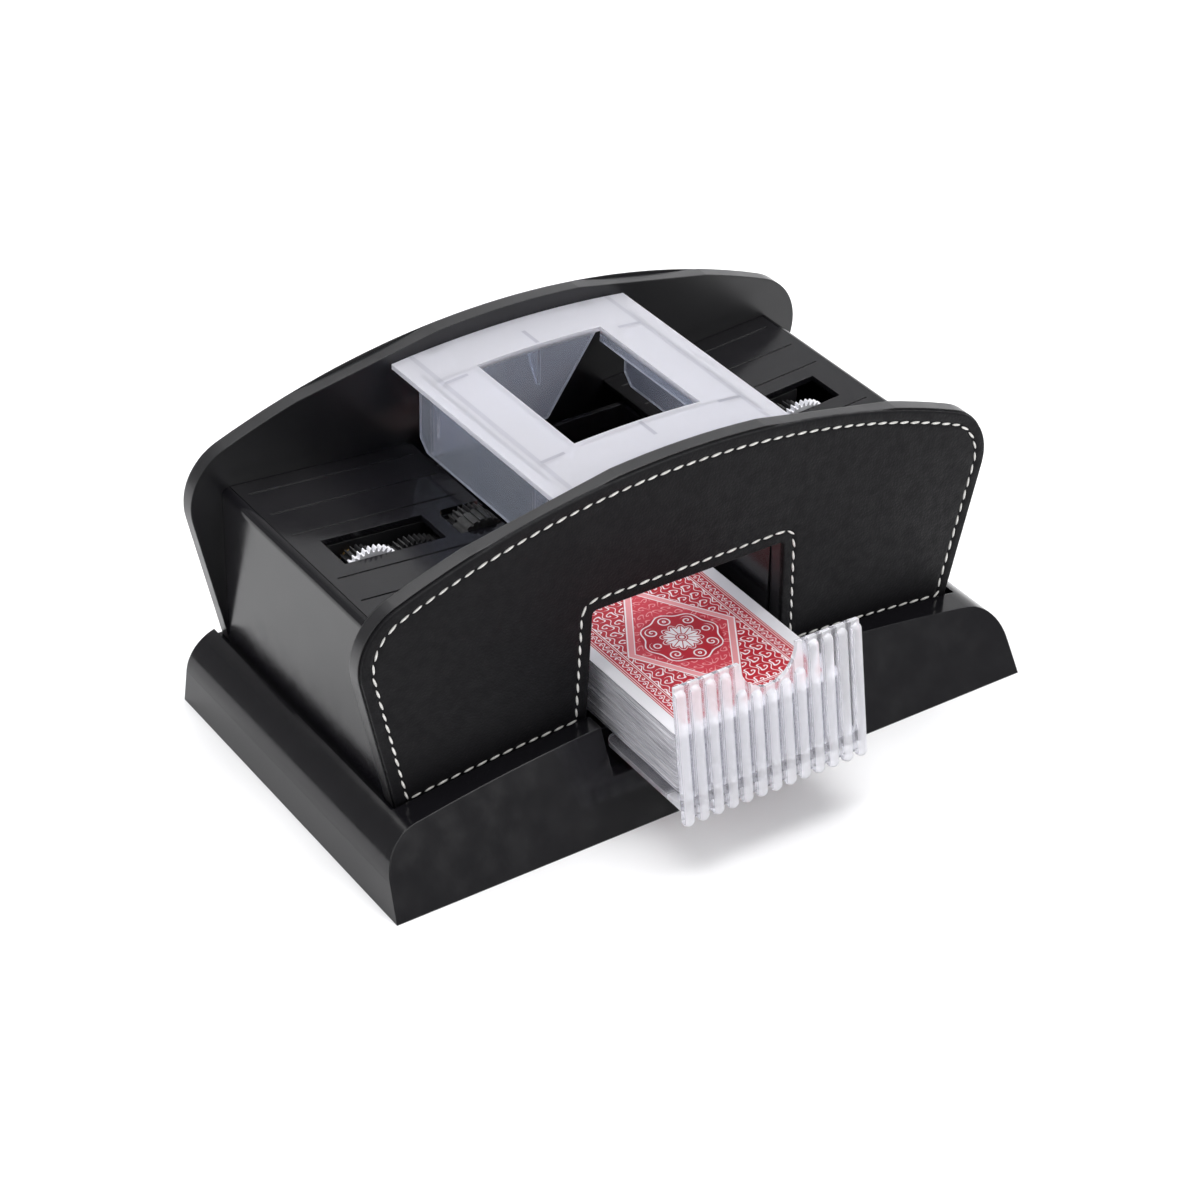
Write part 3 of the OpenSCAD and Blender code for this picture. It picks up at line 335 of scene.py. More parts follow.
def facing(name, outline, wood_y, thick, body, groove=True):
    """Leather cut to the outline: a rough rolled edge, a stitch groove and a flat field."""
    steps = [(0.0, 0.0), (0.0, 0.45), (0.0, 0.8), (0.25, 0.95), (0.7, 1.0)]
    if groove:
        steps += [(2.4, 1.0), (3.1, 0.93), (3.6, 0.78), (4.0, 0.72), (4.4, 0.78), (4.9, 0.93),
                  (5.6, 1.0)]
    rng = random.Random(5)
    vertices, faces = [], []
    count = len(outline)
    rough = [rng.uniform(-0.05, 0.05) for _ in outline]
    for inset, height in steps:
        ring = drawn_in(outline, inset)
        for i, (x, z) in enumerate(ring):
            ease = rough[i] if 0 < height < 1 and inset < 0.5 else 0
            vertices.append((x, wood_y - thick * (height + ease * 0.3) + (0 if height else 0), z))
    for k in range(len(steps) - 1):
        for i in range(count):
            j = (i + 1) % count
            faces.append((k * count + i, k * count + j, (k + 1) * count + j, (k + 1) * count + i))
    faces.append(tuple(range((len(steps) - 1) * count, len(steps) * count)))
    faces.append(tuple(reversed(range(count))))
    piece = make_mesh(name, vertices, faces, leather, body)
    bm = bmesh.new()
    bm.from_mesh(piece.data)
    bmesh.ops.triangulate(bm, faces=[f for f in bm.faces if len(f.verts) > 4])
    bmesh.ops.remove_doubles(bm, verts=bm.verts, dist=1e-6)
    bmesh.ops.recalc_face_normals(bm, faces=bm.faces)
    for f in bm.faces:
        f.smooth = True
    bm.to_mesh(piece.data)
    bm.free()
    return piece


front_outline = closed_outline(board_edge(edge_inset), mouth_edge())
front_wood, front_thick = front_high.y / MM, (front_high.y - front_low.y) / MM
front_facing = facing("front_facing", front_outline, front_wood, front_thick, "machine")
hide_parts("front_leather")

back_outline = closed_outline(board_edge(edge_inset))
back_wood, back_thick = back_low.y / MM, (back_high.y - back_low.y) / MM
back_facing = facing("back_facing", back_outline, back_wood, -back_thick, "machine")
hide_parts("back_leather")


# ---------------------------------------------------------------- stitching
# Thick white waxed thread in a row of slightly slanted stitches, about 5 mm from hole to hole,
# 4 mm in from the cut edges of both facings.

thread = plain_material("thread", (0.78, 0.77, 0.74), 0.6)
thread.node_tree.nodes["Principled BSDF"].inputs["Sheen Weight"].default_value = 0.3
vary(thread, "Base Color", 1.2, (0.62, 0.61, 0.58), (0.86, 0.85, 0.82))
grain_bump(thread, [("noise", 0.25, 0.1)])


def add_node(tree, kind, settings=None, **inputs):
    """Adds a node. Inputs are given by socket name, as a value or as a socket to link from."""
    node = tree.nodes.new(kind)
    for key, value in (settings or {}).items():
        setattr(node, key, value)
    for key, value in inputs.items():
        socket = node.inputs[int(key[1:])] if key[0] == "i" and key[1:].isdigit() else \
            node.inputs[key.replace("_", " ")]
        if isinstance(value, bpy.types.NodeSocket):
            tree.links.new(value, socket)
        else:
            socket.default_value = value
    return node


def new_tree(name, sizes):
    """An empty geometry tree with named size inputs. Returns the tree and its input sockets."""
    tree = bpy.data.node_groups.new(name, "GeometryNodeTree")
    tree.interface.new_socket("Geometry", in_out="INPUT", socket_type="NodeSocketGeometry")
    tree.interface.new_socket("Geometry", in_out="OUTPUT", socket_type="NodeSocketGeometry")
    for key, value in sizes.items():
        kind = "NodeSocketInt" if isinstance(value, int) else "NodeSocketFloat"
        tree.interface.new_socket(key, in_out="INPUT", socket_type=kind).default_value = value
    return tree, tree.nodes.new("NodeGroupInput").outputs


def end_tree(tree, geometry, material):
    real = add_node(tree, "GeometryNodeRealizeInstances", Geometry=geometry)
    paint = add_node(tree, "GeometryNodeSetMaterial", Geometry=real.outputs[0], Material=material)
    add_node(tree, "NodeGroupOutput", Geometry=paint.outputs[0])


def grown(name, source, tree, body, sizes=None):
    """Runs a geometry tree on a source mesh and keeps the result as a finished piece."""
    holder = bpy.data.objects.new(name + "_source", source)
    bpy.context.scene.collection.objects.link(holder)
    modifier = holder.modifiers.new("grow", "NODES")
    modifier.node_group = tree
    for item in tree.interface.items_tree:
        if item.in_out == "INPUT" and sizes and item.name in sizes:
            modifier[item.identifier] = sizes[item.name]
    evaluated = holder.evaluated_get(bpy.context.evaluated_depsgraph_get())
    mesh = bpy.data.meshes.new_from_object(evaluated)
    bpy.data.objects.remove(holder)
    piece = bpy.data.objects.new(name, mesh)
    bpy.context.scene.collection.objects.link(piece)
    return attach(piece, body)


stitch_tree, size = new_tree("stitch_row", {"Pitch": 4.8 * MM, "Length": 3.9 * MM,
                                            "Thread": 0.8 * MM, "Slant": 0.13})
path = add_node(stitch_tree, "GeometryNodeMeshToCurve", Mesh=size["Geometry"])
holes = add_node(stitch_tree, "GeometryNodeCurveToPoints", {"mode": "LENGTH"},
                 Curve=path.outputs[0], Length=size["Pitch"])
across = add_node(stitch_tree, "ShaderNodeVectorMath", {"operation": "CROSS_PRODUCT"},
                  i0=holes.outputs["Tangent"], i1=(0, 1, 0))
lift = add_node(stitch_tree, "ShaderNodeVectorMath", {"operation": "SCALE"},
                i0=across.outputs[0], Scale=size["Slant"])
heading = add_node(stitch_tree, "ShaderNodeVectorMath", {"operation": "ADD"},
                   i0=holes.outputs["Tangent"], i1=lift.outputs[0])
aim = add_node(stitch_tree, "FunctionNodeAlignRotationToVector", {"axis": "X"},
               Vector=heading.outputs[0])
bead = add_node(stitch_tree, "GeometryNodeMeshUVSphere", Segments=8, Rings=6, Radius=0.5)
bead_size = add_node(stitch_tree, "ShaderNodeCombineXYZ", X=size["Length"], Y=size["Thread"],
                     Z=size["Thread"])
uneven = add_node(stitch_tree, "FunctionNodeRandomValue", {"data_type": "FLOAT"}, Seed=11)
uneven.inputs[2].default_value = 0.93
uneven.inputs[3].default_value = 1.05
scale = add_node(stitch_tree, "ShaderNodeVectorMath", {"operation": "SCALE"},
                 i0=bead_size.outputs[0], Scale=uneven.outputs[1])
row = add_node(stitch_tree, "GeometryNodeInstanceOnPoints", Points=holes.outputs["Points"],
               Instance=bead.outputs["Mesh"], Rotation=aim.outputs[0], Scale=scale.outputs[0])
smooth = add_node(stitch_tree, "GeometryNodeSetShadeSmooth", Geometry=row.outputs[0])
end_tree(stitch_tree, smooth.outputs[0], thread)

for name, outline, wood, thick in (("front_stitches", front_outline, front_wood, front_thick),
                                   ("back_stitches", back_outline, back_wood, -back_thick)):
    seam = drawn_in(outline, 4.0)
    seam_mesh = bpy.data.meshes.new(name)
    seam_mesh.from_pydata([(x * MM, (wood - thick * 0.86) * MM, z * MM) for x, z in seam],
                          [(i, (i + 1) % len(seam)) for i in range(len(seam))], [])
    grown(name, seam_mesh, stitch_tree, "machine")


# ---------------------------------------------------------------- end walls and hoppers
# Polished black mouldings: a rounded wall at each end, and a floor that slopes to the middle,
# with shallow grooves that keep cards from clinging and slots for the wheels.

hopper_black = plain_material("hopper_black", (0.0055, 0.0052, 0.0066), 0.18)
hopper_black.node_tree.nodes["Principled BSDF"].inputs["Specular IOR Level"].default_value = 0.4
vary(hopper_black, "Roughness", 8, 0.14, 0.2)
grain_bump(hopper_black, [("noise", 0.4, 0.002), ("noise", 14, 0.03)])
soften_edges(hopper_black, 0.25)
finish(hopper_black, "left_end_wall", "right_end_wall", "left_hopper_floor",
       "right_hopper_floor", "bin_walls")


# ---------------------------------------------------------------- frosted cover
# Moulded from milky clear plastic, 1.8 mm thick. It rests on its ledges and lifts off. Its edges
# carry a painted highlight, and painted shade lines mark where thin gussets and the wall edge
# stand under the plate.


def calc(tree, kind, *values):
    """A maths node on numbers or sockets."""
    node = tree.nodes.new("ShaderNodeMath")
    node.operation = kind
    for socket, value in zip(node.inputs, values):
        if isinstance(value, bpy.types.NodeSocket):
            tree.links.new(value, socket)
        else:
            socket.default_value = value
    return node.outputs[0]


def fade(tree, value, start, end):
    """Rises smoothly from 0 at start to 1 at end."""
    node = tree.nodes.new("ShaderNodeMapRange")
    node.interpolation_type = "SMOOTHSTEP"
    node.inputs[1].default_value, node.inputs[2].default_value = start, end
    tree.links.new(value, node.inputs[0])
    return node.outputs[0]


def either(tree, *masks):
    total = masks[0]
    for mask in masks[1:]:
        total = calc(tree, "MAXIMUM", total, mask)
    return total


def both(tree, *masks):
    total = masks[0]
    for mask in masks[1:]:
        total = calc(tree, "MULTIPLY", total, mask)
    return total


def cell(tree, value, size):
    """Repeats a length in cells of the given size, measured from each cell's middle."""
    return calc(tree, "SUBTRACT", calc(tree, "FLOORED_MODULO", value, size), size / 2)


def tint(tree, amount, below, above):
    """Mixes two colours, or a socket and a colour, by an amount from 0 to 1."""
    node = tree.nodes.new("ShaderNodeMix")
    node.data_type = "RGBA"
    tree.links.new(amount, node.inputs[0])
    for socket, value in zip((node.inputs[6], node.inputs[7]), (below, above)):
        if isinstance(value, bpy.types.NodeSocket):
            tree.links.new(value, socket)
        else:
            socket.default_value = (*value, 1)
    return node.outputs[2]


def ranged(tree, amount, low, high):
    """Turns an amount from 0 to 1 into a value from low to high."""
    return calc(tree, "ADD", calc(tree, "MULTIPLY", amount, high - low), low)


def place_mm(tree):
    """The place on a piece in mm, as three sockets."""
    coordinates = tree.nodes.new("ShaderNodeTexCoord")
    split = tree.nodes.new("ShaderNodeSeparateXYZ")
    tree.links.new(coordinates.outputs["Object"], split.inputs[0])
    return [calc(tree, "DIVIDE", socket, MM) for socket in split.outputs]


def edge_glow(tree, radius):
    """1 near a moulded edge and 0 on a flat face, from how far a rounded normal turns away. It
    masks painted edge highlights.
    """
    bevel = tree.nodes.new("ShaderNodeBevel")
    bevel.samples = 4
    bevel.inputs["Radius"].default_value = radius * MM
    flat = tree.nodes.new("ShaderNodeNewGeometry")
    dot = tree.nodes.new("ShaderNodeVectorMath")
    dot.operation = "DOT_PRODUCT"
    tree.links.new(bevel.outputs[0], dot.inputs[0])
    tree.links.new(flat.outputs["True Normal"], dot.inputs[1])
    return calc(tree, "SUBTRACT", 1, fade(tree, dot.outputs["Value"], 0.75, 0.98))


cover_low, cover_high = (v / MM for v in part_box("cover"))
cover_bend, cover_plate = 385, 1.8
side_gusset_x, side_gusset_y = 33.6, (-27.6, 28.4)
middle_gusset_y, wall_line_x = (-30.5, 36.6), 38.2
gusset_half_length = 4.2

frosted = plain_material("frosted", (0.8, 0.8, 0.87), 0.3)
tree = frosted.node_tree
shader = tree.nodes["Principled BSDF"]
shader.inputs["IOR"].default_value = 1.38
x, y, z = place_mm(tree)
plate_top = calc(tree, "SUBTRACT", cover_high.z, calc(tree, "MULTIPLY", calc(
    tree, "MULTIPLY", x, x), 0.5 / cover_bend))
depth = calc(tree, "SUBTRACT", plate_top, z)
in_plate = calc(tree, "SUBTRACT", 1, fade(tree, depth, cover_plate, cover_plate + 0.8))
# Painted highlight: near the moulded edges the colour is made lighter and the transmission lower,
# standing in for light gathered in the edges.
glow = edge_glow(tree, 0.7)
middle = (cover_low.y + cover_high.y) / 2
# Painted shade: darker lines in the plate's base colour where the side and middle gussets and the
# wall's top edge stand under it.
gusset_shade_x = calc(tree, "SUBTRACT", 1, fade(tree, calc(tree, "ABSOLUTE", calc(
    tree, "SUBTRACT", calc(tree, "ABSOLUTE", x), side_gusset_x)), gusset_half_length,
    gusset_half_length + 0.5))
gusset_shades = [both(tree, gusset_shade_x, calc(tree, "SUBTRACT", 1, fade(tree, calc(tree, "ABSOLUTE", calc(
    tree, "SUBTRACT", y, middle + off)), 0.5, 0.9))) for off in side_gusset_y]
line_x = calc(tree, "SUBTRACT", 1, fade(tree, calc(tree, "ABSOLUTE", x), 0.5, 0.9))
for off in middle_gusset_y:
    gusset_shades.append(both(tree, line_x, calc(tree, "SUBTRACT", 1, fade(tree, calc(
        tree, "ABSOLUTE", calc(tree, "SUBTRACT", y, middle + off)), gusset_half_length,
        gusset_half_length + 0.5))))
wall_shade_line = calc(tree, "SUBTRACT", 1, fade(tree, calc(tree, "ABSOLUTE", calc(
    tree, "SUBTRACT", calc(tree, "ABSOLUTE", x), wall_line_x)), 0.6, 1.1))
painted_gusset_shade = both(tree, in_plate, either(tree, *gusset_shades, both(tree, wall_shade_line, 0.6)))
cloud = tree.nodes.new("ShaderNodeTexNoise")
cloud.inputs["Scale"].default_value = 90
tree.links.new(tree.nodes["Texture Coordinate"].outputs["Object"], cloud.inputs[0])
body_tone = tint(tree, cloud.outputs[0], (0.66, 0.72, 0.86), (0.78, 0.82, 0.92))
tone = tint(tree, in_plate, body_tone, (0.84, 0.84, 0.9))
# painted shade of the gussets and the wall edge darkens the tone here
tone = tint(tree, painted_gusset_shade, tone, (0.58, 0.58, 0.65))
# painted highlight along the edges
tone = tint(tree, glow, tone, (0.95, 0.95, 0.98))
tree.links.new(tone, shader.inputs["Base Color"])
clear = ranged(tree, in_plate, 0.78, 0.7)
clear = calc(tree, "MULTIPLY", clear, ranged(tree, glow, 1, 0.5))
tree.links.new(clear, shader.inputs["Transmission Weight"])
tree.links.new(ranged(tree, in_plate, 0.22, 0.4), shader.inputs["Roughness"])
grain_bump(frosted, [("noise", 0.35, 0.006), ("noise", 11, 0.04)])
soften_edges(frosted, 0.35)
finish(frosted, "cover")


# ---------------------------------------------------------------- tray
# Moulded from the same milky plastic as the cover. Round ribs stiffen its leaning front wall,
# and it slides on the deck under the bin, on its narrow tongue.

rib_round, rib_number, tray_wide = 2.1, 13, 35.6
rib_gap = 2 * (tray_wide - rib_round) / (rib_number - 1)

tray_milk = plain_material("tray_milk", (0.8, 0.8, 0.87), 0.3)
tree = tray_milk.node_tree
shader = tree.nodes["Principled BSDF"]
shader.inputs["IOR"].default_value = 1.33
x, y, z = place_mm(tree)
on_rib = calc(tree, "SUBTRACT", 1, fade(tree, calc(tree, "ABSOLUTE", cell(
    tree, calc(tree, "ADD", x, rib_gap / 2), rib_gap)), rib_round * 0.72, rib_round * 1.02))
tray_front_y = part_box("card_tray")[0].y / MM
in_wall = calc(tree, "SUBTRACT", 1, fade(tree, y, tray_front_y + 10, tray_front_y + 14))
rib_mask = both(tree, on_rib, in_wall)
# Painted highlight: near the moulded edges the colour is lighter and the transmission lower,
# standing in for light gathered in the edges.
glow = edge_glow(tree, 0.5)
tone = tint(tree, rib_mask, (0.8, 0.8, 0.86), (0.93, 0.93, 0.97))
tone = tint(tree, glow, tone, (0.96, 0.96, 0.99))
tree.links.new(tone, shader.inputs["Base Color"])
clear = calc(tree, "MULTIPLY", ranged(tree, rib_mask, 0.88, 0.6), ranged(tree, glow, 1, 0.7))
tree.links.new(clear, shader.inputs["Transmission Weight"])
tree.links.new(ranged(tree, rib_mask, 0.16, 0.32), shader.inputs["Roughness"])
grain_bump(tray_milk, [("noise", 0.35, 0.006)])
soften_edges(tray_milk, 0.25)
finish(tray_milk, "card_tray")


# ---------------------------------------------------------------- cards
# A block of plain-edged playing cards, 0.28 mm thick with rounded corners, lying on the tray's
# floor against its leaning wall. Each lies a little askew. The back is printed in two reds.


def inked(tree, distance, width, soft=0.09):
    """1 on a line of the given width in mm, 0 off it, from the distance to its middle."""
    node = tree.nodes.new("ShaderNodeMapRange")
    node.interpolation_type = "SMOOTHSTEP"
    for socket, value in zip((1, 2, 3, 4), (width / 2 - soft, width / 2 + soft, 1, 0)):
        node.inputs[socket].default_value = value
    tree.links.new(calc(tree, "ABSOLUTE", distance), node.inputs[0])
    return node.outputs[0]


def scroll(tree, u, v, pitch, reach, width):
    """A spiral scroll round u = v = 0."""
    radius = calc(tree, "SQRT", calc(tree, "ADD", calc(tree, "MULTIPLY", u, u),
                                     calc(tree, "MULTIPLY", v, v)))
    turn = calc(tree, "MULTIPLY", calc(tree, "ARCTAN2", v, u), pitch / (2 * math.pi))
    wound = calc(tree, "SUBTRACT", calc(
        tree, "FLOORED_MODULO", calc(tree, "SUBTRACT", radius, turn), pitch), pitch / 2)
    return calc(tree, "MULTIPLY", inked(tree, wound, width),
                calc(tree, "LESS_THAN", radius, reach))


deck_low, deck_high = (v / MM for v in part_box("card_deck"))
card_t, card_pitch, card_lean = 0.28, 0.325, 0.183
card_count = int((deck_high.z - deck_low.z) / card_pitch)
card_w = deck_high.x - deck_low.x
card_l = deck_high.y - deck_low.y - card_lean * (deck_high.z - deck_low.z)
top_middle = deck_high.y - card_l / 2

card_print = plain_material("card_print", (0.8, 0.8, 0.82), 0.38)
tree = card_print.node_tree
place = tree.nodes.new("ShaderNodeTexCoord")
split = tree.nodes.new("ShaderNodeSeparateXYZ")
tree.links.new(place.outputs["Object"], split.inputs[0])
x = calc(tree, "ABSOLUTE", calc(tree, "DIVIDE", split.outputs[0], MM))
y = calc(tree, "ABSOLUTE", calc(tree, "SUBTRACT", calc(tree, "DIVIDE", split.outputs[1], MM),
                                top_middle))
from_side = calc(tree, "SUBTRACT", card_w / 2, x)
from_end = calc(tree, "SUBTRACT", card_l / 2, y)
inward = calc(tree, "MINIMUM", from_side, from_end)
at_side = calc(tree, "LESS_THAN", from_side, from_end)
along = calc(tree, "ADD", both(tree, y, at_side),
             both(tree, x, calc(tree, "SUBTRACT", 1, at_side)))

red_field = calc(tree, "GREATER_THAN", inward, 4.6)
rules = either(tree, *(inked(tree, calc(tree, "SUBTRACT", inward, d), w)
                       for d, w in ((5.1, 0.25), (5.9, 0.25), (9.6, 0.25), (10.3, 0.35))))
in_band = both(tree, calc(tree, "GREATER_THAN", inward, 6.0), calc(tree, "LESS_THAN", inward, 9.5))
wave = calc(tree, "MULTIPLY", calc(
    tree, "SINE", calc(tree, "MULTIPLY", along, 2 * math.pi / 4.4)), 1)
across = calc(tree, "SUBTRACT", inward, 7.75)
vine = inked(tree, calc(tree, "SUBTRACT", across, wave), 0.45)
buds = scroll(tree, cell(tree, along, 2.2),
              calc(tree, "ADD", across, calc(tree, "MULTIPLY", wave, 0.6)), 0.9, 0.75, 0.45)
band = both(tree, in_band, either(tree, vine, buds))

lozenge_x, lozenge_y = 20.6, 33.0
outward = calc(tree, "MULTIPLY",
               calc(tree, "SUBTRACT", calc(tree, "ADD", calc(tree, "DIVIDE", x, lozenge_x),
                                           calc(tree, "DIVIDE", y, lozenge_y)), 1),
               lozenge_x * lozenge_y / math.hypot(lozenge_x, lozenge_y))
lozenge = either(tree, inked(tree, outward, 0.5),
                 inked(tree, calc(tree, "ADD", outward, 2.2), 0.35))
in_frame = calc(tree, "GREATER_THAN", inward, 10.2)
outside = both(tree, in_frame, calc(tree, "GREATER_THAN", outward, 0.5))
inside = calc(tree, "LESS_THAN", outward, -2.4)
sway = calc(tree, "MULTIPLY", calc(tree, "SINE", calc(tree, "MULTIPLY", y, 1.35)), 0.7)
corner_scrolls = either(
    tree, scroll(tree, cell(tree, calc(tree, "ADD", x, sway), 4.9), cell(tree, y, 4.9),
                 1.7, 2.1, 0.5),
    inked(tree, cell(tree, calc(tree, "ADD", calc(tree, "ADD", x, 2.45), sway), 4.9), 0.35))
fine_scrolls = scroll(tree, cell(tree, calc(tree, "SUBTRACT", x, sway), 3.3), cell(tree, y, 3.5),
                      1.5, 1.55, 0.45)

radius = calc(tree, "SQRT", calc(tree, "ADD", calc(tree, "MULTIPLY", x, x),
                                 calc(tree, "MULTIPLY", y, y)))
turn = calc(tree, "ARCTAN2", y, x)
petal_tip = calc(tree, "ADD", 4.6, calc(tree, "MULTIPLY", calc(
    tree, "ABSOLUTE", calc(tree, "COSINE", calc(tree, "MULTIPLY", turn, 6))), 1.5))
vein = calc(tree, "MULTIPLY", calc(tree, "SINE", calc(tree, "MULTIPLY", turn, 6)),
            calc(tree, "MULTIPLY", radius, 0.16))
petals = both(tree, calc(tree, "LESS_THAN", radius, petal_tip),
              calc(tree, "GREATER_THAN", radius, 2.1),
              calc(tree, "SUBTRACT", 1, inked(tree, vein, 0.32)))
heart = either(tree, inked(tree, radius, 1.7),
               inked(tree, calc(tree, "SUBTRACT", radius, 1.55), 0.3))
scallop = inked(tree, calc(tree, "SUBTRACT", radius, calc(tree, "ADD", petal_tip, 0.9)), 0.35)
sector = cell(tree, calc(tree, "ADD", turn, math.pi / 8), math.pi / 4)
curl = scroll(tree, calc(tree, "SUBTRACT", calc(tree, "MULTIPLY", radius, calc(
    tree, "COSINE", sector)), 9.7), calc(tree, "MULTIPLY", radius, calc(tree, "SINE", sector)),
    1.5, 2.35, 0.5)
garland = inked(tree, calc(tree, "SUBTRACT", radius, calc(tree, "ADD", 12.6, calc(
    tree, "MULTIPLY", calc(tree, "COSINE", calc(tree, "MULTIPLY", turn, 8)), 0.7))), 0.5)
in_rose = calc(tree, "LESS_THAN", radius, 13.4)
off_rose = calc(tree, "SUBTRACT", 1, in_rose)
white_ink = both(tree, red_field, either(
    tree, rules, band, both(tree, in_frame, either(
        tree, lozenge, both(tree, outside, corner_scrolls),
        both(tree, in_rose, either(tree, petals, heart, scallop, curl, garland)))), 0))
pale_ink = both(tree, in_frame, calc(tree, "MAXIMUM", both(
    tree, calc(tree, "LESS_THAN", outward, 0), calc(tree, "GREATER_THAN", outward, -2.2)),
    both(tree, inside, off_rose, fine_scrolls)))

stock = (0.76, 0.75, 0.79)
ground = tint(tree, both(tree, inside, off_rose), (0.46, 0.012, 0.026), (0.6, 0.045, 0.07))
ground = tint(tree, pale_ink, ground, (0.78, 0.32, 0.34))
ground = tint(tree, white_ink, ground, (0.88, 0.83, 0.86))
back_print = tint(tree, red_field, stock, ground)
printed = tree.nodes.new("ShaderNodeAttribute")
printed.attribute_name = "printed"
edge_noise = tree.nodes.new("ShaderNodeTexNoise")
edge_noise.inputs["Scale"].default_value = 1
edge_noise.inputs["Detail"].default_value = 2
stretch = tree.nodes.new("ShaderNodeMapping")
stretch.inputs["Scale"].default_value = (60, 60, 2600)
tree.links.new(place.outputs["Object"], stretch.inputs[0])
tree.links.new(stretch.outputs[0], edge_noise.inputs["Vector"])
edge_tone = tree.nodes.new("ShaderNodeMapRange")
edge_tone.inputs[1].default_value, edge_tone.inputs[2].default_value = 0.35, 0.6
tree.links.new(edge_noise.outputs[0], edge_tone.inputs[0])
edges = tint(tree, edge_tone.outputs[0], (0.25, 0.25, 0.29), (0.72, 0.71, 0.76))
card_face = tint(tree, printed.outputs["Fac"], edges, back_print)
tree.links.new(card_face, tree.nodes["Principled BSDF"].inputs["Base Color"])
grain_bump(card_print, [("noise", 0.3, 0.006)])

card_tree, size = new_tree("card_pack", {
    "Cards": card_count, "Width": card_w * MM, "Length": card_l * MM, "Corner": 3.2 * MM,
    "Thickness": card_t * MM, "Pitch": card_pitch * MM, "Lean": card_lean, "Spread": 0.55 * MM,
    "Turn": 0.008})
sheet = add_node(card_tree, "GeometryNodeCurvePrimitiveQuadrilateral", Width=size["Width"],
                 Height=size["Length"])
sheet = add_node(card_tree, "GeometryNodeFilletCurve", {"mode": "POLY"}, Curve=sheet.outputs[0],
                 Radius=size["Corner"], Count=5)
face = add_node(card_tree, "GeometryNodeFillCurve", {"mode": "NGONS"}, Curve=sheet.outputs[0])
side_up = add_node(card_tree, "GeometryNodeStoreNamedAttribute",
                   {"data_type": "FLOAT", "domain": "FACE"},
                   Geometry=face.outputs[0], Name="printed")
side_up.inputs[3].default_value = 1
walls = add_node(card_tree, "GeometryNodeExtrudeMesh", {"mode": "FACES"}, Mesh=side_up.outputs[0],
                 Offset=(0, 0, 1), i3=size["Thickness"])
walls.inputs["Individual"].default_value = False
blank = add_node(card_tree, "GeometryNodeStoreNamedAttribute",
                 {"data_type": "FLOAT", "domain": "FACE"}, Geometry=walls.outputs["Mesh"],
                 Selection=walls.outputs["Side"], Name="printed")
blank.inputs[3].default_value = 0
under = add_node(card_tree, "GeometryNodeFlipFaces", Mesh=side_up.outputs[0])
whole = card_tree.nodes.new("GeometryNodeJoinGeometry")
card_tree.links.new(blank.outputs[0], whole.inputs[0])
card_tree.links.new(under.outputs[0], whole.inputs[0])
card = add_node(card_tree, "GeometryNodeMergeByDistance", Geometry=whole.outputs[0], Distance=1e-6)
number = add_node(card_tree, "GeometryNodeInputIndex")
height = add_node(card_tree, "ShaderNodeMath", {"operation": "MULTIPLY"}, i0=number.outputs[0],
                  i1=size["Pitch"])
back = add_node(card_tree, "ShaderNodeMath", {"operation": "MULTIPLY"}, i0=height.outputs[0],
                i1=size["Lean"])
stack = add_node(card_tree, "GeometryNodePoints", Count=size["Cards"])
top_card = add_node(card_tree, "ShaderNodeMath", {"operation": "SUBTRACT"}, i0=size["Cards"], i1=1)
loose = add_node(card_tree, "ShaderNodeMath", {"operation": "LESS_THAN"}, i0=number.outputs[0],
                 i1=top_card.outputs[0])
askew = []
for seed, bound in ((3, "Spread"), (7, "Spread"), (13, "Turn")):
    shift = add_node(card_tree, "FunctionNodeRandomValue", {"data_type": "FLOAT"}, Seed=seed)
    low = add_node(card_tree, "ShaderNodeMath", {"operation": "MULTIPLY"}, i0=size[bound], i1=-1.0)
    card_tree.links.new(low.outputs[0], shift.inputs[2])
    card_tree.links.new(size[bound], shift.inputs[3])
    kept = add_node(card_tree, "ShaderNodeMath", {"operation": "MULTIPLY"}, i0=shift.outputs[1],
                    i1=loose.outputs[0])
    askew.append(kept.outputs[0])
slip = add_node(card_tree, "ShaderNodeMath", {"operation": "ABSOLUTE"}, i0=askew[1])
reach = add_node(card_tree, "ShaderNodeMath", {"operation": "ADD"}, i0=back.outputs[0],
                 i1=slip.outputs[0])
spot = add_node(card_tree, "ShaderNodeCombineXYZ", X=askew[0], Y=reach.outputs[0],
                Z=height.outputs[0])
placed = add_node(card_tree, "GeometryNodeSetPosition", Geometry=stack.outputs[0],
                  Position=spot.outputs[0])
swing = add_node(card_tree, "ShaderNodeCombineXYZ", Z=askew[2])
block = add_node(card_tree, "GeometryNodeInstanceOnPoints", Points=placed.outputs[0],
                 Instance=card.outputs[0], Rotation=swing.outputs[0])
settled = add_node(card_tree, "GeometryNodeTransform", Geometry=block.outputs[0],
                   Translation=(0, (deck_low.y + card_l / 2) * MM, deck_low.z * MM))
end_tree(card_tree, settled.outputs[0], card_print)
cards = grown("cards_pack", bpy.data.meshes.new("cards_start"), card_tree, "cards")
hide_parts("card_deck")


# ---------------------------------------------------------------- drive trains
# On each side two black moulded plates on turned steel posts carry a small motor, a white
# pinion, black nylon gears on ground shafts in bronze bushes, and the two wheels.

gearbox_black = plain_material("gearbox_black", (0.008, 0.008, 0.009), 0.4)
vary(gearbox_black, "Roughness", 5, 0.34, 0.46)
grain_bump(gearbox_black, [("noise", 0.4, 0.01)])
soften_edges(gearbox_black, 0.2)

steel = plain_material("steel", (0.6, 0.6, 0.62), 0.25)
steel.node_tree.nodes["Principled BSDF"].inputs["Metallic"].default_value = 1
vary(steel, "Roughness", 2, 0.18, 0.36)
grain_bump(steel, [("noise", 0.2, 0.002)])

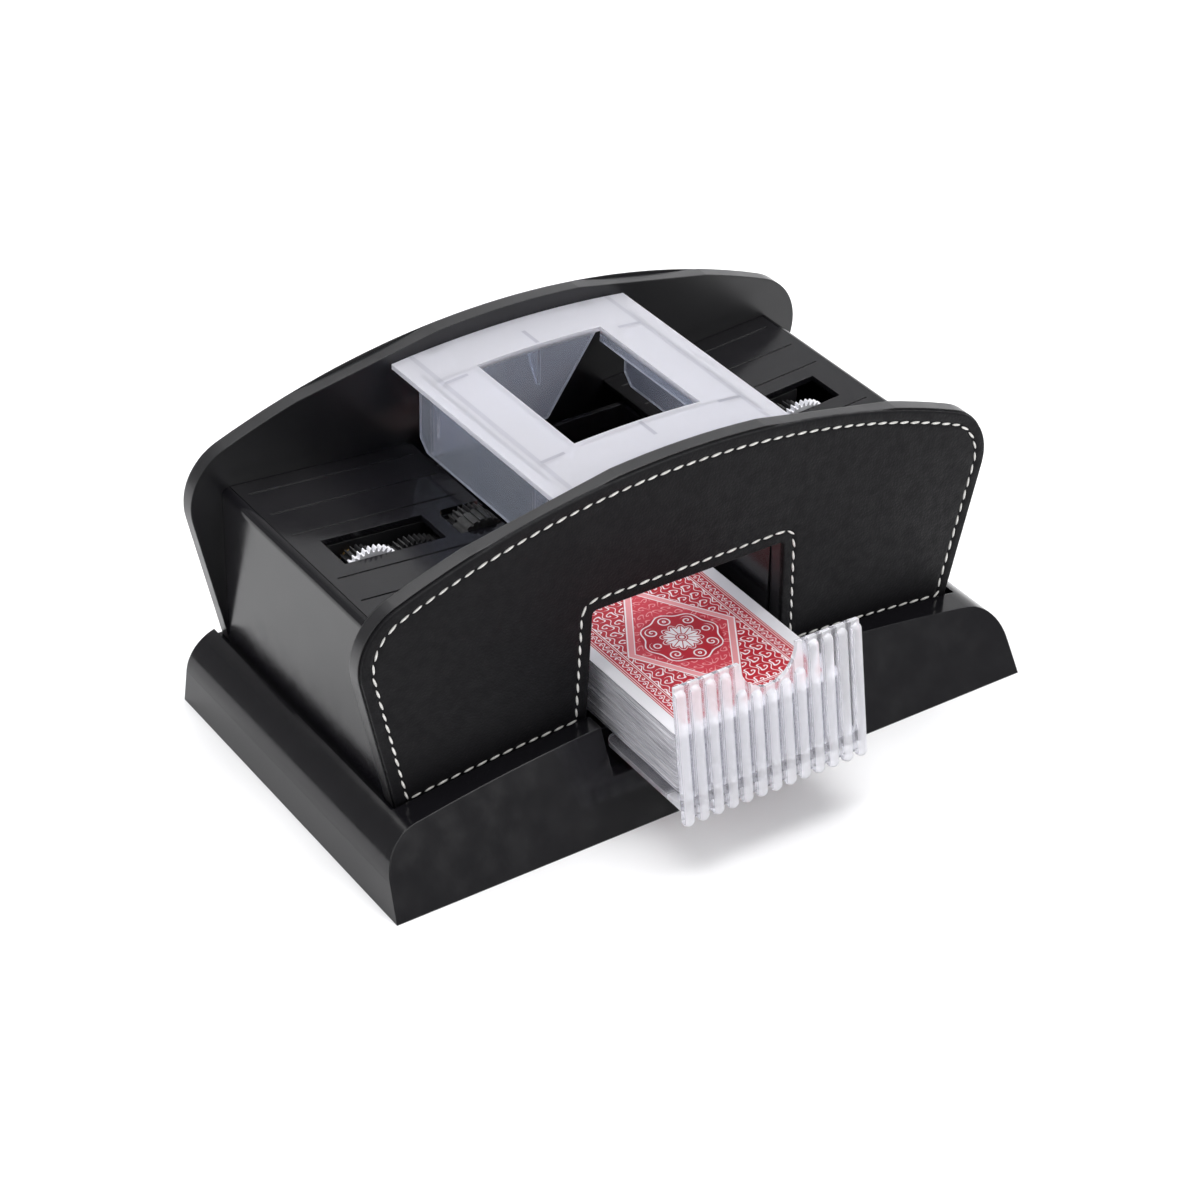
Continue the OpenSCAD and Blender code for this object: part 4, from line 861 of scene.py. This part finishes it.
bronze = plain_material("bronze", (0.5, 0.33, 0.13), 0.45)
bronze.node_tree.nodes["Principled BSDF"].inputs["Metallic"].default_value = 1
vary(bronze, "Base Color", 1, (0.42, 0.27, 0.1), (0.56, 0.38, 0.16))
grain_bump(bronze, [("noise", 0.15, 0.01)])

motor_can = plain_material("motor_can", (0.46, 0.46, 0.48), 0.35)
motor_can.node_tree.nodes["Principled BSDF"].inputs["Metallic"].default_value = 1
vary(motor_can, "Roughness", 4, 0.28, 0.45)
grain_bump(motor_can, [("noise", 0.4, 0.005)])

white_nylon = plain_material("white_nylon", (0.72, 0.72, 0.76), 0.42)
white_nylon.node_tree.nodes["Principled BSDF"].inputs["Subsurface Weight"].default_value = 0.15
white_nylon.node_tree.nodes["Principled BSDF"].inputs["Subsurface Radius"].default_value = \
    (0.001, 0.001, 0.001)
vary(white_nylon, "Base Color", 3, (0.66, 0.66, 0.7), (0.78, 0.78, 0.81))
grain_bump(white_nylon, [("noise", 0.3, 0.005)])

black_nylon = plain_material("black_nylon", (0.01, 0.01, 0.011), 0.38)
vary(black_nylon, "Roughness", 3, 0.3, 0.46)
grain_bump(black_nylon, [("noise", 0.3, 0.006)])

tyre_rubber = plain_material("tyre_rubber", (0.018, 0.018, 0.019), 0.75)
vary(tyre_rubber, "Base Color", 2, (0.012, 0.012, 0.013), (0.032, 0.032, 0.033))
grain_bump(tyre_rubber, [("noise", 0.25, 0.03)])

for side in ("left", "right"):
    finish(gearbox_black, side + "_gearbox_front", side + "_gearbox_rear")
    finish(steel, side + "_gearbox_posts", side + "_idler_shaft", side + "_feed_shaft",
           side + "_kicker_shaft")
    finish(bronze, side + "_bushes")
    finish(motor_can, side + "_motor")
    finish(white_nylon, side + "_motor_pinion", side + "_kicker_wheel")
    finish(black_nylon, side + "_idler_gear", side + "_feed_gear", side + "_kicker_gear")
    finish(tyre_rubber, side + "_feed_tyre")


# ---------------------------------------------------------------- batteries and switch
# Four small cells lie in the box under the deck between nickelled contacts. The start switch
# stands on a green board behind the round button at the back, with a coil spring round its stem.

cell_wrap = plain_material("cell_wrap", (0.05, 0.06, 0.08), 0.3)
vary(cell_wrap, "Base Color", 9, (0.04, 0.05, 0.07), (0.075, 0.085, 0.11))
grain_bump(cell_wrap, [("noise", 2, 0.01)])
finish(cell_wrap, "battery_cells")

nickel = plain_material("nickel", (0.62, 0.6, 0.56), 0.24)
nickel.node_tree.nodes["Principled BSDF"].inputs["Metallic"].default_value = 1
vary(nickel, "Roughness", 2, 0.16, 0.34)
grain_bump(nickel, [("noise", 0.3, 0.003)])
finish(nickel, "battery_contacts", "button_spring")

board_green = plain_material("board_green", (0.02, 0.11, 0.05), 0.35)
vary(board_green, "Base Color", 2.5, (0.016, 0.09, 0.04), (0.03, 0.15, 0.07))
grain_bump(board_green, [("noise", 0.6, 0.01)])
finish(board_green, "start_switch")
